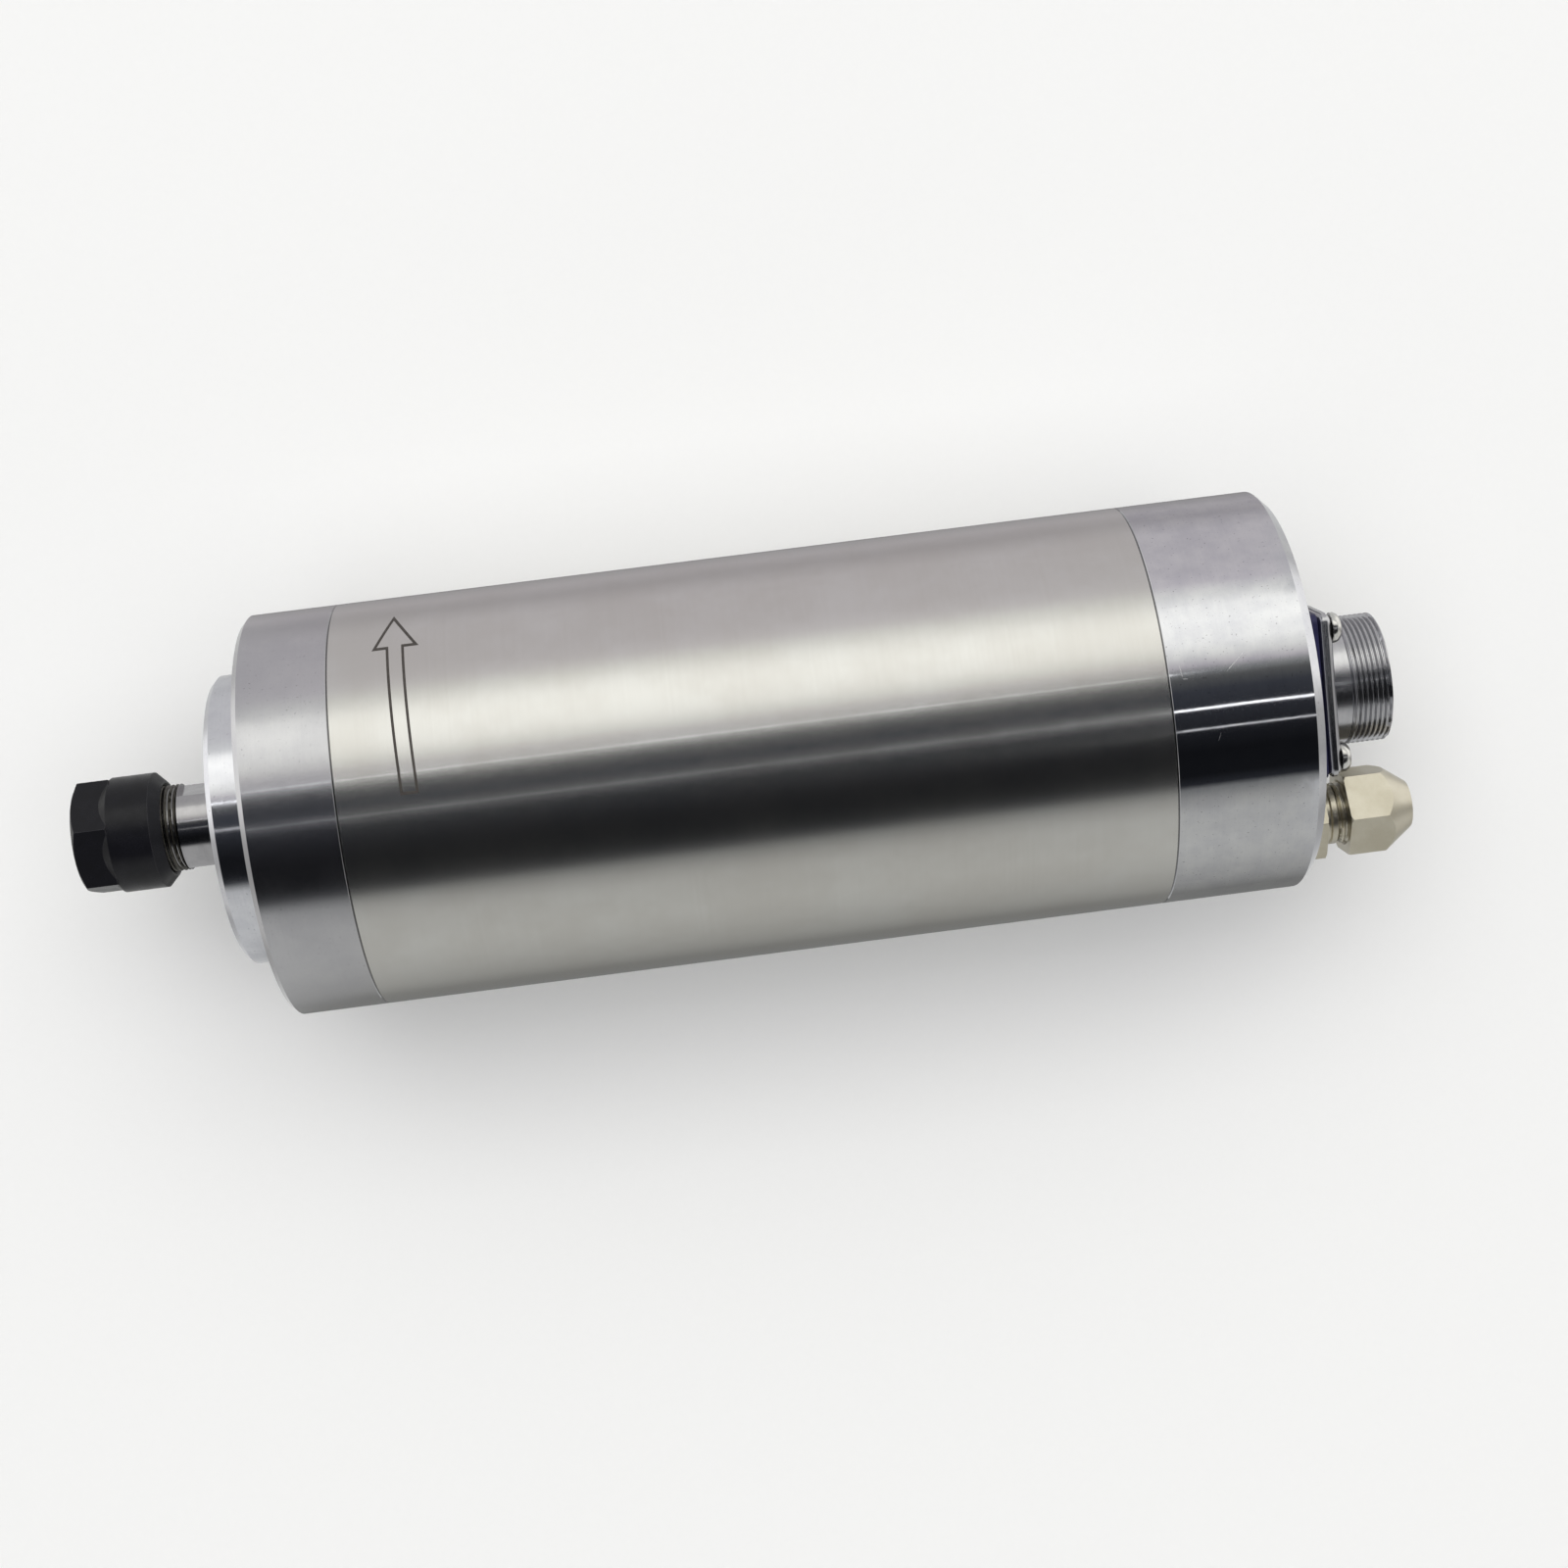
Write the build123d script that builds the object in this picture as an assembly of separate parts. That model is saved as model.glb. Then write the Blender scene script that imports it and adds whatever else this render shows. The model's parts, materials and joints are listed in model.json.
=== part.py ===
from build123d import *
import math
import os

# Water-cooled motor spindle with an ER11 collet chuck, a round multi-pin
# connector and two compression hose fittings.
# Millimetres. X is the spindle axis, the tool nose points to -X.
# The origin is on the axis, in the plane of the front shoulder of the body.
# The hose fittings sit on the -Y and -Z sides of the rear face.

# --- Driving dimensions: body -------------------------------------------------
BODY_R = 32.5
BODY_LENGTH = 164.0
FRONT_JOINT_X = 14.6
REAR_JOINT_X = 140.8
SHOULDER_CHAMFER = 0.85
REAR_CHAMFER = 1.6
JOINT_CHAMFER = 0.18
JACKET_BORE_R = 29.5
FRONT_SPIGOT_END = 24.0
REAR_SPIGOT_END = 126.0

BOSS_R = 23.5
BOSS_LENGTH = 6.45
BOSS_CHAMFER = 0.9
BOSS_LIP = 1.2
SEAL_GAP = 0.4

# --- Collet chuck (ER11) ------------------------------------------------------
NOSE_X = -31.2
NUT_REAR_X = -17.1
NUT_FLATS = 17.0
NUT_HEX_END_X = -25.4
NUT_COLLAR_R = 9.35
NUT_TURN = 23.0
COLLET_TAPER = math.tan(math.radians(8))
COLLET_CONE = math.tan(math.radians(30))
COLLET_R = 5.75
COLLET_LENGTH = 18.0
COLLET_BORE_R = 3.0
COLLET_SLOTS = 6
COLLET_SLOT_WIDTH = 0.5
COLLET_SLOT_TURN = 7.5
THREAD_R = 7.0
THREAD_GAP = 0.07
SEAT_GAP = 0.05

# --- Shaft and rotor ----------------------------------------------------------
SHAFT_FRONT_X = -26.2
SHAFT_REAR_X = 137.0
SPANNER_FLATS = 12.0
SPANNER_FLAT_X = (-14.6, -5.6)
SPANNER_TURN = 14.0
COLLAR_R = 9.0
COLLAR_X = (-4.7, -1.5)
TOOL_WELL_R = 3.5
TOOL_WELL_END = 22.0
ROTOR_R = 14.4
ROTOR_X = (42.0, 102.0)
END_RING_WIDTH = 5.0

# --- Bearings: bore radius, outer radius, width, pitch radius, ball radius ----
FRONT_BEARING = (7.5, 16.0, 9.0, 11.75, 2.38)
FRONT_BEARING_X = 3.0
FRONT_BALLS = 10
REAR_BEARING = (5.0, 13.0, 8.0, 9.0, 2.1)
REAR_BEARING_X = 127.0
REAR_BALLS = 8
BALL_GAP = 0.12
CAGE_WALL = 0.6

# --- Stator and water jacket --------------------------------------------------
STATOR_BORE_R = 15.0
STATOR_R = 23.5
STATOR_SLOTS = 12
SLOT_R = (16.6, 20.8)
SLOT_WIDTH = 3.4
SLOT_MOUTH = 1.4
WINDING_OVERHANG = 11.0
CHANNEL_R = 27.3
CHANNELS = 10
CHANNEL_PITCH = 30.0
CHANNEL_ANGLE = 22.0
CHANNEL_X = (34.0, 118.0)
CROSSOVER = 8.0
O_RING_R = 0.75

# --- Screws -------------------------------------------------------------------
M3_R = 1.5
M3_CLEARANCE_R = 1.6
M3_HEAD_R = 2.75
M3_HEAD_HEIGHT = 3.0
M3_KEY_FLATS = 2.5
CAP_SCREW_CIRCLE_R = 26.2
COVER_SCREW_CIRCLE_R = 19.7

# --- Power connector ----------------------------------------------------------
CONNECTOR_TURN = 10.5
FLANGE_SIDE = 26.6
FLANGE_CORNER_R = 1.6
GASKET_THICKNESS = 4.6
FLANGE_THICKNESS = 2.5
FLANGE_SCREW_OFFSET = 10.5
BARREL_R = 10.5
BARREL_ROOT_R = 10.25
BARREL_ROOT_LENGTH = 3.7
BARREL_LENGTH = 9.7
SOCKET_R = 8.6
SOCKET_DEPTH = 6.8
PIN_R = 1.0
PIN_CIRCLE_R = 4.6
PINS = 4
WIRE_CHAMBER_R = 9.5
WIRE_CHAMBER_X = 146.0

# --- Hose fittings ------------------------------------------------------------
FITTING_CIRCLE_R = 21.5
FITTING_ANGLES = (180.0, 270.0)
FITTING_FLATS = 13.0
WASHER_R = 6.4
WASHER_THICKNESS = 0.8
FITTING_HEX_HEIGHT = 3.8
FITTING_HEX_TURN = -20.7
FITTING_THREAD_R = 5.0
FITTING_WATERWAY_R = 2.0
HOSE_R = 3.1
HOSE_NUT_X = (172.3, 183.3)
HOSE_NUT_FLATS = 13.0
HOSE_NUT_CONE_X = 178.4
HOSE_NUT_TIP_R = 3.9
HOSE_NUT_TURN = -20.7

GASKET_X = BODY_LENGTH
FLANGE_X = GASKET_X + GASKET_THICKNESS
BARREL_X = FLANGE_X + FLANGE_THICKNESS
BARREL_END_X = BARREL_X + BARREL_LENGTH


def turned(*profile):
    """Solid of revolution about X from (x, radius) points."""
    return revolve(make_face(Polyline(*profile, close=True)), Axis.X)


def ring(x_start, x_end, inner_r, outer_r, chamfer_size=0.0):
    """Tube section about X, its outer edges chamfered."""
    outer_edge = [(x_start, outer_r), (x_end, outer_r)]
    if chamfer_size:
        outer_edge = [
            (x_start, outer_r - chamfer_size),
            (x_start + chamfer_size, outer_r),
            (x_end - chamfer_size, outer_r),
            (x_end, outer_r - chamfer_size),
        ]
    return turned((x_start, inner_r), *outer_edge, (x_end, inner_r))


def rod(x_start, x_end, radius, y=0.0, z=0.0):
    """Cylinder parallel to X."""
    bar = Cylinder(radius, x_end - x_start, align=(Align.CENTER, Align.CENTER, Align.MIN))
    return Pos(x_start, y, z) * Rot(0, 90, 0) * bar


def hexagon(x_start, x_end, across_flats, turn=0.0):
    """Hexagonal bar along X, its first corner on +Y before the turn."""
    outline = RegularPolygon(across_flats / 2, 6, major_radius=False)
    return Rot(turn, 0, 0) * extrude(Plane.YZ.offset(x_start) * outline, x_end - x_start)


def drilled(start, end, radius):
    """Straight hole between two (x, distance from axis) points in the XY plane."""
    start_point = Vector(start[0], start[1], 0)
    end_point = Vector(end[0], end[1], 0)
    direction = end_point - start_point
    plane = Plane(origin=start_point, z_dir=direction)
    return extrude(plane * Circle(radius), direction.length)


def sector(x_start, x_end, inner_r, outer_r, centre_angle, angle):
    """Part of a ring, centred on an angle measured from +Y towards +Z."""
    face = make_face(Polyline(
        (x_start, inner_r), (x_start, outer_r), (x_end, outer_r), (x_end, inner_r), close=True
    ))
    return Rot(centre_angle - angle / 2, 0, 0) * revolve(face, Axis.X, angle)


def around(shape, angles):
    """Copies of a shape turned about X."""
    return [Rot(angle, 0, 0) * shape for angle in angles]


def even_angles(count, first=0.0):
    return [first + 360.0 * index / count for index in range(count)]


def export(node, *solids):
    """Write one sub-part, one or more separate solids."""
    pieces = [solid for shape in solids for solid in shape.solids()]
    shape = pieces[0] if len(pieces) == 1 else Compound(children=pieces)
    export_step(shape, os.path.join("parts", node + ".step"))


def socket_screw(head_x, tip_x, circle_r):
    """Socket head cap screw along +X, its head front at head_x."""
    head = ring(head_x, head_x + M3_HEAD_HEIGHT, 0, M3_HEAD_R, 0.25)
    shank = rod(head_x + M3_HEAD_HEIGHT, tip_x, M3_R)
    key = hexagon(head_x, head_x + 1.5, M3_KEY_FLATS)
    return Pos(0, circle_r, 0) * (head + shank - key)


# --- Collet chuck -------------------------------------------------------------
COLLET_FRONT_X = NOSE_X + 0.3
COLLET_REAR_X = COLLET_FRONT_X + COLLET_LENGTH
COLLET_MOUTH_X = SHAFT_FRONT_X - 0.4
GROOVE_X = (COLLET_FRONT_X + 2.0, COLLET_FRONT_X + 3.6)
GROOVE_R = 4.85
COLLET_FACE_R = 4.7
COLLET_HEAD_R = 5.65
COLLET_TAIL_R = COLLET_R - (COLLET_REAR_X - COLLET_MOUTH_X) * COLLET_TAPER


def make_collet():
    cone_end_x = COLLET_FRONT_X + (COLLET_HEAD_R - COLLET_FACE_R) / COLLET_CONE
    body = turned(
        (COLLET_FRONT_X, COLLET_BORE_R),
        (COLLET_FRONT_X, COLLET_FACE_R),
        (cone_end_x, COLLET_HEAD_R),
        (GROOVE_X[0], COLLET_HEAD_R),
        (GROOVE_X[0], GROOVE_R),
        (GROOVE_X[1], GROOVE_R),
        (GROOVE_X[1], COLLET_R),
        (COLLET_MOUTH_X, COLLET_R),
        (COLLET_REAR_X, COLLET_TAIL_R),
        (COLLET_REAR_X, COLLET_BORE_R),
    )
    slot_length = 13.5
    slot = Box(slot_length, COLLET_R, COLLET_SLOT_WIDTH, align=(Align.MIN, Align.MIN, Align.CENTER))
    front_slot = Pos(COLLET_FRONT_X - 1, COLLET_BORE_R - 1, 0) * slot
    rear_slot = Pos(COLLET_REAR_X + 1 - slot_length, COLLET_BORE_R - 1, 0) * slot
    half_pitch = 180.0 / COLLET_SLOTS
    body -= around(front_slot, even_angles(COLLET_SLOTS, COLLET_SLOT_TURN))
    return body - around(rear_slot, even_angles(COLLET_SLOTS, COLLET_SLOT_TURN + half_pitch))


def make_collet_nut():
    # A turned blank carries the hexagon: the flats run out into the collar cone.
    apothem = NUT_FLATS / 2
    corner_r = apothem / math.cos(math.radians(30))
    front_chamfer = 0.9
    runout = 1.3
    rear_chamfer = 1.55
    bore_r = THREAD_R + THREAD_GAP
    hexagonal = hexagon(NOSE_X, NUT_HEX_END_X, NUT_FLATS, NUT_TURN) & turned(
        (NOSE_X, 0),
        (NOSE_X, corner_r - 1.5),
        (NOSE_X + front_chamfer, corner_r + 0.06),
        (NUT_HEX_END_X, corner_r + 0.06),
        (NUT_HEX_END_X, 0),
    )
    collar = turned(
        (NUT_HEX_END_X - runout, 0),
        (NUT_HEX_END_X - runout, apothem - 0.05),
        (NUT_HEX_END_X, NUT_COLLAR_R),
        (NUT_REAR_X - rear_chamfer, NUT_COLLAR_R),
        (NUT_REAR_X, bore_r + 0.7),
        (NUT_REAR_X, 0),
    )
    gap = 0.08
    lip_gap = 0.15
    face_r = COLLET_FACE_R + gap - (COLLET_FRONT_X - NOSE_X) * COLLET_CONE
    cavity = turned(
        (NOSE_X, 0),
        (NOSE_X, face_r),
        (GROOVE_X[0] - 0.3, COLLET_HEAD_R + gap),
        (GROOVE_X[0] + lip_gap, COLLET_HEAD_R + gap),
        (GROOVE_X[0] + lip_gap, GROOVE_R + lip_gap),
        (GROOVE_X[1] - lip_gap, GROOVE_R + lip_gap),
        (GROOVE_X[1] - lip_gap, COLLET_R + gap),
        (SHAFT_FRONT_X - 0.25, COLLET_R + gap),
        (SHAFT_FRONT_X - 0.25, bore_r + 0.4),
        (SHAFT_FRONT_X + 0.9, bore_r + 0.4),
        (SHAFT_FRONT_X + 0.9, bore_r),
        (NUT_REAR_X - 0.4, bore_r),
        (NUT_REAR_X, bore_r + 0.4),
        (NUT_REAR_X, 0),
    )
    return hexagonal + collar - cavity


# --- Rotor --------------------------------------------------------------------
LOCK_NUT_X = FRONT_BEARING_X + 2 * FRONT_BEARING[2]
LOCK_NUT_WIDTH = 6.0
LOCK_NUT_R = 11.5
ROTOR_BORE_R = 7.0


def make_shaft():
    seat_r = FRONT_BEARING[0]
    rear_seat_r = REAR_BEARING[0]
    socket_r = COLLET_R + SEAT_GAP - (SHAFT_FRONT_X - COLLET_MOUTH_X) * COLLET_TAPER
    socket_end_x = COLLET_REAR_X + 1.0
    socket_end_r = socket_r - (socket_end_x - SHAFT_FRONT_X) * COLLET_TAPER
    body = turned(
        (SHAFT_FRONT_X, socket_r),
        (SHAFT_FRONT_X, THREAD_R - 0.5),
        (SHAFT_FRONT_X + 0.5, THREAD_R),
        (COLLAR_X[0], THREAD_R),
        (COLLAR_X[0], COLLAR_R),
        (COLLAR_X[1], COLLAR_R),
        (COLLAR_X[1], seat_r),
        (LOCK_NUT_X + LOCK_NUT_WIDTH + 1, seat_r),
        (LOCK_NUT_X + LOCK_NUT_WIDTH + 1, ROTOR_BORE_R),
        (REAR_BEARING_X, ROTOR_BORE_R),
        (REAR_BEARING_X, rear_seat_r),
        (SHAFT_REAR_X - 0.5, rear_seat_r),
        (SHAFT_REAR_X, rear_seat_r - 0.5),
        (SHAFT_REAR_X, 0),
        (TOOL_WELL_END, 0),
        (TOOL_WELL_END - 2, TOOL_WELL_R),
        (socket_end_x, TOOL_WELL_R),
        (socket_end_x, socket_end_r),
    )
    flat_length = SPANNER_FLAT_X[1] - SPANNER_FLAT_X[0]
    flat = Box(flat_length, 4, 4 * THREAD_R, align=(Align.MIN, Align.MIN, Align.CENTER))
    flat = Pos(SPANNER_FLAT_X[0], SPANNER_FLATS / 2, 0) * flat
    return body - around(flat, even_angles(2, SPANNER_TURN))


def make_slinger():
    # The flinger disc turns inside the front cover and throws dust and coolant out.
    return turned(
        (COLLAR_X[1], FRONT_BEARING[0]),
        (COLLAR_X[1], 11.0),
        (COLLAR_X[1] + 2.0, 11.0),
        (COLLAR_X[1] + 2.6, 9.6),
        (FRONT_BEARING_X, 9.6),
        (FRONT_BEARING_X, FRONT_BEARING[0]),
    )


def make_lock_nut():
    body = ring(LOCK_NUT_X, LOCK_NUT_X + LOCK_NUT_WIDTH, FRONT_BEARING[0], LOCK_NUT_R, 0.5)
    notch = Box(LOCK_NUT_WIDTH, 3, 4, align=(Align.MIN, Align.MIN, Align.CENTER))
    notch = Pos(LOCK_NUT_X, LOCK_NUT_R - 1.6, 0) * notch
    return body - around(notch, even_angles(4))


def make_rotor():
    core = ring(ROTOR_X[0], ROTOR_X[1], ROTOR_BORE_R, ROTOR_R)
    front_ring = ring(ROTOR_X[0] - END_RING_WIDTH, ROTOR_X[0], ROTOR_BORE_R + 2, ROTOR_R - 0.4, 0.6)
    rear_ring = ring(ROTOR_X[1], ROTOR_X[1] + END_RING_WIDTH, ROTOR_BORE_R + 2, ROTOR_R - 0.4, 0.6)
    return core, front_ring, rear_ring


def make_bearing(x_start, sizes, ball_count):
    """Deep-groove bearing: inner ring, outer ring, balls and cage."""
    bore_r, outer_r, width, pitch_r, ball_r = sizes
    centre_x = x_start + width / 2
    shoulder = 0.78 * ball_r
    groove = Pos(centre_x, 0, 0) * Rot(0, 90, 0) * Torus(pitch_r, ball_r + BALL_GAP)
    inner = ring(x_start, x_start + width, bore_r, pitch_r - shoulder) - groove
    outer = ring(x_start, x_start + width, pitch_r + shoulder, outer_r) - groove
    angles = even_angles(ball_count)
    balls = around(Pos(centre_x, pitch_r, 0) * Sphere(ball_r), angles)
    cage = ring(
        centre_x - ball_r - CAGE_WALL,
        centre_x + ball_r + CAGE_WALL,
        pitch_r - CAGE_WALL,
        pitch_r + CAGE_WALL,
    )
    pocket = Pos(centre_x, pitch_r, 0) * Rot(90, 0, 0) * Cylinder(ball_r + BALL_GAP / 2, 4)
    return inner, outer, balls, cage - around(pocket, angles)


# --- Housing ------------------------------------------------------------------
def make_front_cover():
    slinger_bore_r = 11.0 + SEAL_GAP
    body = turned(
        (-BOSS_LENGTH, THREAD_R + SEAL_GAP),
        (-BOSS_LENGTH, BOSS_R - BOSS_CHAMFER),
        (-BOSS_LENGTH + BOSS_CHAMFER, BOSS_R),
        (0, BOSS_R),
        (0, FRONT_BEARING[1]),
        (FRONT_BEARING_X, FRONT_BEARING[1]),
        (FRONT_BEARING_X, slinger_bore_r),
        (-BOSS_LENGTH + BOSS_LIP, slinger_bore_r),
        (-BOSS_LENGTH + BOSS_LIP, THREAD_R + SEAL_GAP),
    )
    counterbore = rod(-BOSS_LENGTH, -BOSS_LENGTH + M3_HEAD_HEIGHT, M3_HEAD_R, COVER_SCREW_CIRCLE_R)
    hole = rod(-BOSS_LENGTH + M3_HEAD_HEIGHT, 0, M3_R, COVER_SCREW_CIRCLE_R)
    return body - around(counterbore + hole, even_angles(4, 45))


COVER_SCREW_END = 8.0
CAP_SCREW_END = 32.0
REAR_CAP_SCREW_TIP = 120.0


def make_front_end_cap():
    lip_r = FRONT_BEARING[1] - 1.6
    bearing_end = FRONT_BEARING_X + 2 * FRONT_BEARING[2]
    body = turned(
        (0, FRONT_BEARING[1]),
        (0, BODY_R - SHOULDER_CHAMFER),
        (SHOULDER_CHAMFER, BODY_R),
        (FRONT_JOINT_X - JOINT_CHAMFER, BODY_R),
        (FRONT_JOINT_X, BODY_R - JOINT_CHAMFER),
        (FRONT_JOINT_X, JACKET_BORE_R),
        (FRONT_SPIGOT_END, JACKET_BORE_R),
        (FRONT_SPIGOT_END, lip_r),
        (bearing_end, lip_r),
        (bearing_end, FRONT_BEARING[1]),
    )
    cap_hole = rod(M3_HEAD_HEIGHT, FRONT_SPIGOT_END, M3_R, CAP_SCREW_CIRCLE_R)
    cap_hole += rod(0, M3_HEAD_HEIGHT, M3_HEAD_R, CAP_SCREW_CIRCLE_R)
    body -= around(cap_hole, even_angles(4))
    body -= around(rod(0, COVER_SCREW_END, M3_R, COVER_SCREW_CIRCLE_R), even_angles(4, 45))
    return body - o_ring_groove(FRONT_O_RING_X)


FRONT_O_RING_X = 19.0
REAR_O_RING_X = 137.5
O_RING_WIDTH = 2.0 * O_RING_R


def o_ring_groove(centre_x):
    half_width = O_RING_R
    return ring(centre_x - half_width, centre_x + half_width, JACKET_BORE_R - O_RING_WIDTH, BODY_R)


def make_o_ring(centre_x):
    """O-ring seated in its groove against the jacket bore."""
    return Pos(centre_x, 0, 0) * Rot(0, 90, 0) * Torus(JACKET_BORE_R - O_RING_R, O_RING_R)


def make_jacket():
    return ring(FRONT_JOINT_X, REAR_JOINT_X, JACKET_BORE_R, BODY_R, JOINT_CHAMFER)


def channel_angle(index):
    """Channels are numbered from the inlet, round the +Z side, to the outlet."""
    return FITTING_ANGLES[0] - index * CHANNEL_PITCH


def make_cooling_sleeve():
    # Lengthwise channels in series carry the water forward and back, round
    # three quarters of the sleeve, from the inlet to the outlet.
    body = ring(FRONT_SPIGOT_END, REAR_SPIGOT_END, STATOR_R, JACKET_BORE_R)
    depth = (CHANNEL_R, JACKET_BORE_R + 1)
    rib_angle = CHANNEL_PITCH - CHANNEL_ANGLE
    cuts = []
    for index in range(CHANNELS):
        cuts.append(sector(*CHANNEL_X, *depth, channel_angle(index), CHANNEL_ANGLE))
    for index in range(CHANNELS - 1):
        crosses_in_front = index % 2 == 0
        start = CHANNEL_X[0] if crosses_in_front else CHANNEL_X[1] - CROSSOVER
        cuts.append(sector(start, start + CROSSOVER, *depth, channel_angle(index + 0.5), rib_angle + 2))
    for angle in FITTING_ANGLES:
        cuts.append(sector(CHANNEL_X[1] - 1, REAR_SPIGOT_END, *depth, angle, 10))
    for cut in cuts:
        body -= cut
    screw = rod(FRONT_SPIGOT_END, CAP_SCREW_END, M3_R, CAP_SCREW_CIRCLE_R)
    rear_screw = rod(REAR_CAP_SCREW_TIP, REAR_SPIGOT_END, M3_R, CAP_SCREW_CIRCLE_R)
    return body - around(screw, even_angles(4)) - around(rear_screw, even_angles(4, 45))


def make_stator():
    core = ring(*ROTOR_X, STATOR_BORE_R, STATOR_R)
    length = ROTOR_X[1] - ROTOR_X[0]
    align = (Align.MIN, Align.MIN, Align.CENTER)
    slot = Pos(ROTOR_X[0], SLOT_R[0], 0) * Box(length, SLOT_R[1] - SLOT_R[0], SLOT_WIDTH, align=align)
    mouth_depth = SLOT_R[0] - STATOR_BORE_R + 1
    mouth = Pos(ROTOR_X[0], STATOR_BORE_R - 1, 0) * Box(length, mouth_depth, SLOT_MOUTH, align=align)
    angles = even_angles(STATOR_SLOTS)
    core -= around(slot + mouth, angles)
    windings = end_winding(ROTOR_X[0], -1) + end_winding(ROTOR_X[1], 1) + around(slot, angles)
    return core, windings


def end_winding(face_x, direction):
    """Bundled coil ends that stand out of one face of the stator core."""
    tip_x = face_x + direction * WINDING_OVERHANG
    shoulder_x = tip_x - direction * 2.0
    return turned(
        (face_x, SLOT_R[0]),
        (face_x, SLOT_R[1]),
        (face_x + direction * 2.0, SLOT_R[1] + 1.4),
        (shoulder_x, SLOT_R[1] + 1.4),
        (tip_x, SLOT_R[1] - 0.6),
        (tip_x, SLOT_R[0] + 1.4),
        (shoulder_x, SLOT_R[0] - 0.4),
        (face_x + direction * 2.0, SLOT_R[0] - 0.4),
    )


HUB_R = 16.5
SPRING_SPACE = 1.5
STUD_HOLE_END = 155.0
WIRE_WAY_R = 21.5
WIRE_WAY_X = 138.0
WIRE_HOLE = ((WIRE_WAY_X - 3, 19.5), (WIRE_CHAMBER_X + 3.5, 8.0))
FLANGE_SCREW_TIP = 157.0


def flange_screw_hole(x_start, x_end, radius):
    """Four holes or shanks on the connector's square screw pattern."""
    offset = FLANGE_SCREW_OFFSET
    corners = [(y, z) for y in (-offset, offset) for z in (-offset, offset)]
    return [Rot(CONNECTOR_TURN, 0, 0) * rod(x_start, x_end, radius, y, z) for y, z in corners]


def make_rear_end_cap():
    pocket_end = REAR_BEARING_X + REAR_BEARING[2] + SPRING_SPACE
    pocket_r = REAR_BEARING[1]
    body = turned(
        (REAR_SPIGOT_END, WIRE_WAY_R),
        (REAR_SPIGOT_END, JACKET_BORE_R),
        (REAR_JOINT_X, JACKET_BORE_R),
        (REAR_JOINT_X, BODY_R - JOINT_CHAMFER),
        (REAR_JOINT_X + JOINT_CHAMFER, BODY_R),
        (BODY_LENGTH - REAR_CHAMFER, BODY_R),
        (BODY_LENGTH, BODY_R - REAR_CHAMFER),
        (BODY_LENGTH, WIRE_CHAMBER_R),
        (WIRE_CHAMBER_X, WIRE_CHAMBER_R),
        (WIRE_CHAMBER_X, 0),
        (pocket_end + 2, 0),
        (pocket_end + 2, REAR_BEARING[0] + 1),
        (pocket_end, REAR_BEARING[0] + 1),
        (pocket_end, pocket_r),
        (REAR_SPIGOT_END, pocket_r),
        (REAR_SPIGOT_END, HUB_R),
        (WIRE_WAY_X, HUB_R),
        (WIRE_WAY_X, WIRE_WAY_R),
    )
    head_x = BODY_LENGTH - M3_HEAD_HEIGHT
    cap_hole = rod(REAR_SPIGOT_END, head_x, M3_R, CAP_SCREW_CIRCLE_R)
    cap_hole += rod(head_x, BODY_LENGTH, M3_HEAD_R, CAP_SCREW_CIRCLE_R)
    body -= around(cap_hole, even_angles(4, 45))
    stud_hole = rod(STUD_HOLE_END, BODY_LENGTH, FITTING_THREAD_R, FITTING_CIRCLE_R)
    water_r = 1.7
    start = (STUD_HOLE_END + 1, FITTING_CIRCLE_R)
    water_way = drilled(start, (REAR_SPIGOT_END - 1, CHANNEL_R + 0.4), water_r)
    body -= around(stud_hole + water_way, FITTING_ANGLES)
    body -= drilled(*WIRE_HOLE, 2.2)
    body -= flange_screw_hole(FLANGE_SCREW_TIP, BODY_LENGTH, M3_R)
    return body - o_ring_groove(REAR_O_RING_X)


def make_preload_spring():
    # Disc spring between the cap and the rear outer ring.
    start = REAR_BEARING_X + REAR_BEARING[2]
    thickness = 0.5
    return turned(
        (start, REAR_BEARING[1] - 0.1),
        (start + thickness, REAR_BEARING[1] - 0.1),
        (start + SPRING_SPACE, 9.4),
        (start + SPRING_SPACE - thickness, 9.4),
    )


def make_leads():
    # The motor leads leave the coil ends and reach the connector through the drilled hole.
    route = FilletPolyline(
        (ROTOR_X[1] + WINDING_OVERHANG + 0.1, 19.0, 0),
        (WIRE_HOLE[0][0] - 1, 19.9, 0),
        (WIRE_HOLE[1][0], 8.0, 0),
        (BODY_LENGTH - 6, 4.2, 0),
        radius=6.0,
    )
    section = Plane(origin=route @ 0, z_dir=route % 0) * Circle(1.6)
    return sweep(section, path=route)


# --- Power connector ----------------------------------------------------------
def flange_plate(x_start, x_end):
    outline = RectangleRounded(FLANGE_SIDE, FLANGE_SIDE, FLANGE_CORNER_R)
    plate = extrude(Plane.YZ.offset(x_start) * outline, x_end - x_start)
    return Rot(CONNECTOR_TURN, 0, 0) * plate


SKIRT_X = BODY_LENGTH - 3.0
SKIRT_R = WIRE_CHAMBER_R - 0.3
INSULATOR_X = (BODY_LENGTH + 1.0, BARREL_END_X - SOCKET_DEPTH)
PIN_X = (BODY_LENGTH - 2.0, BARREL_END_X - 1.8)


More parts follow.
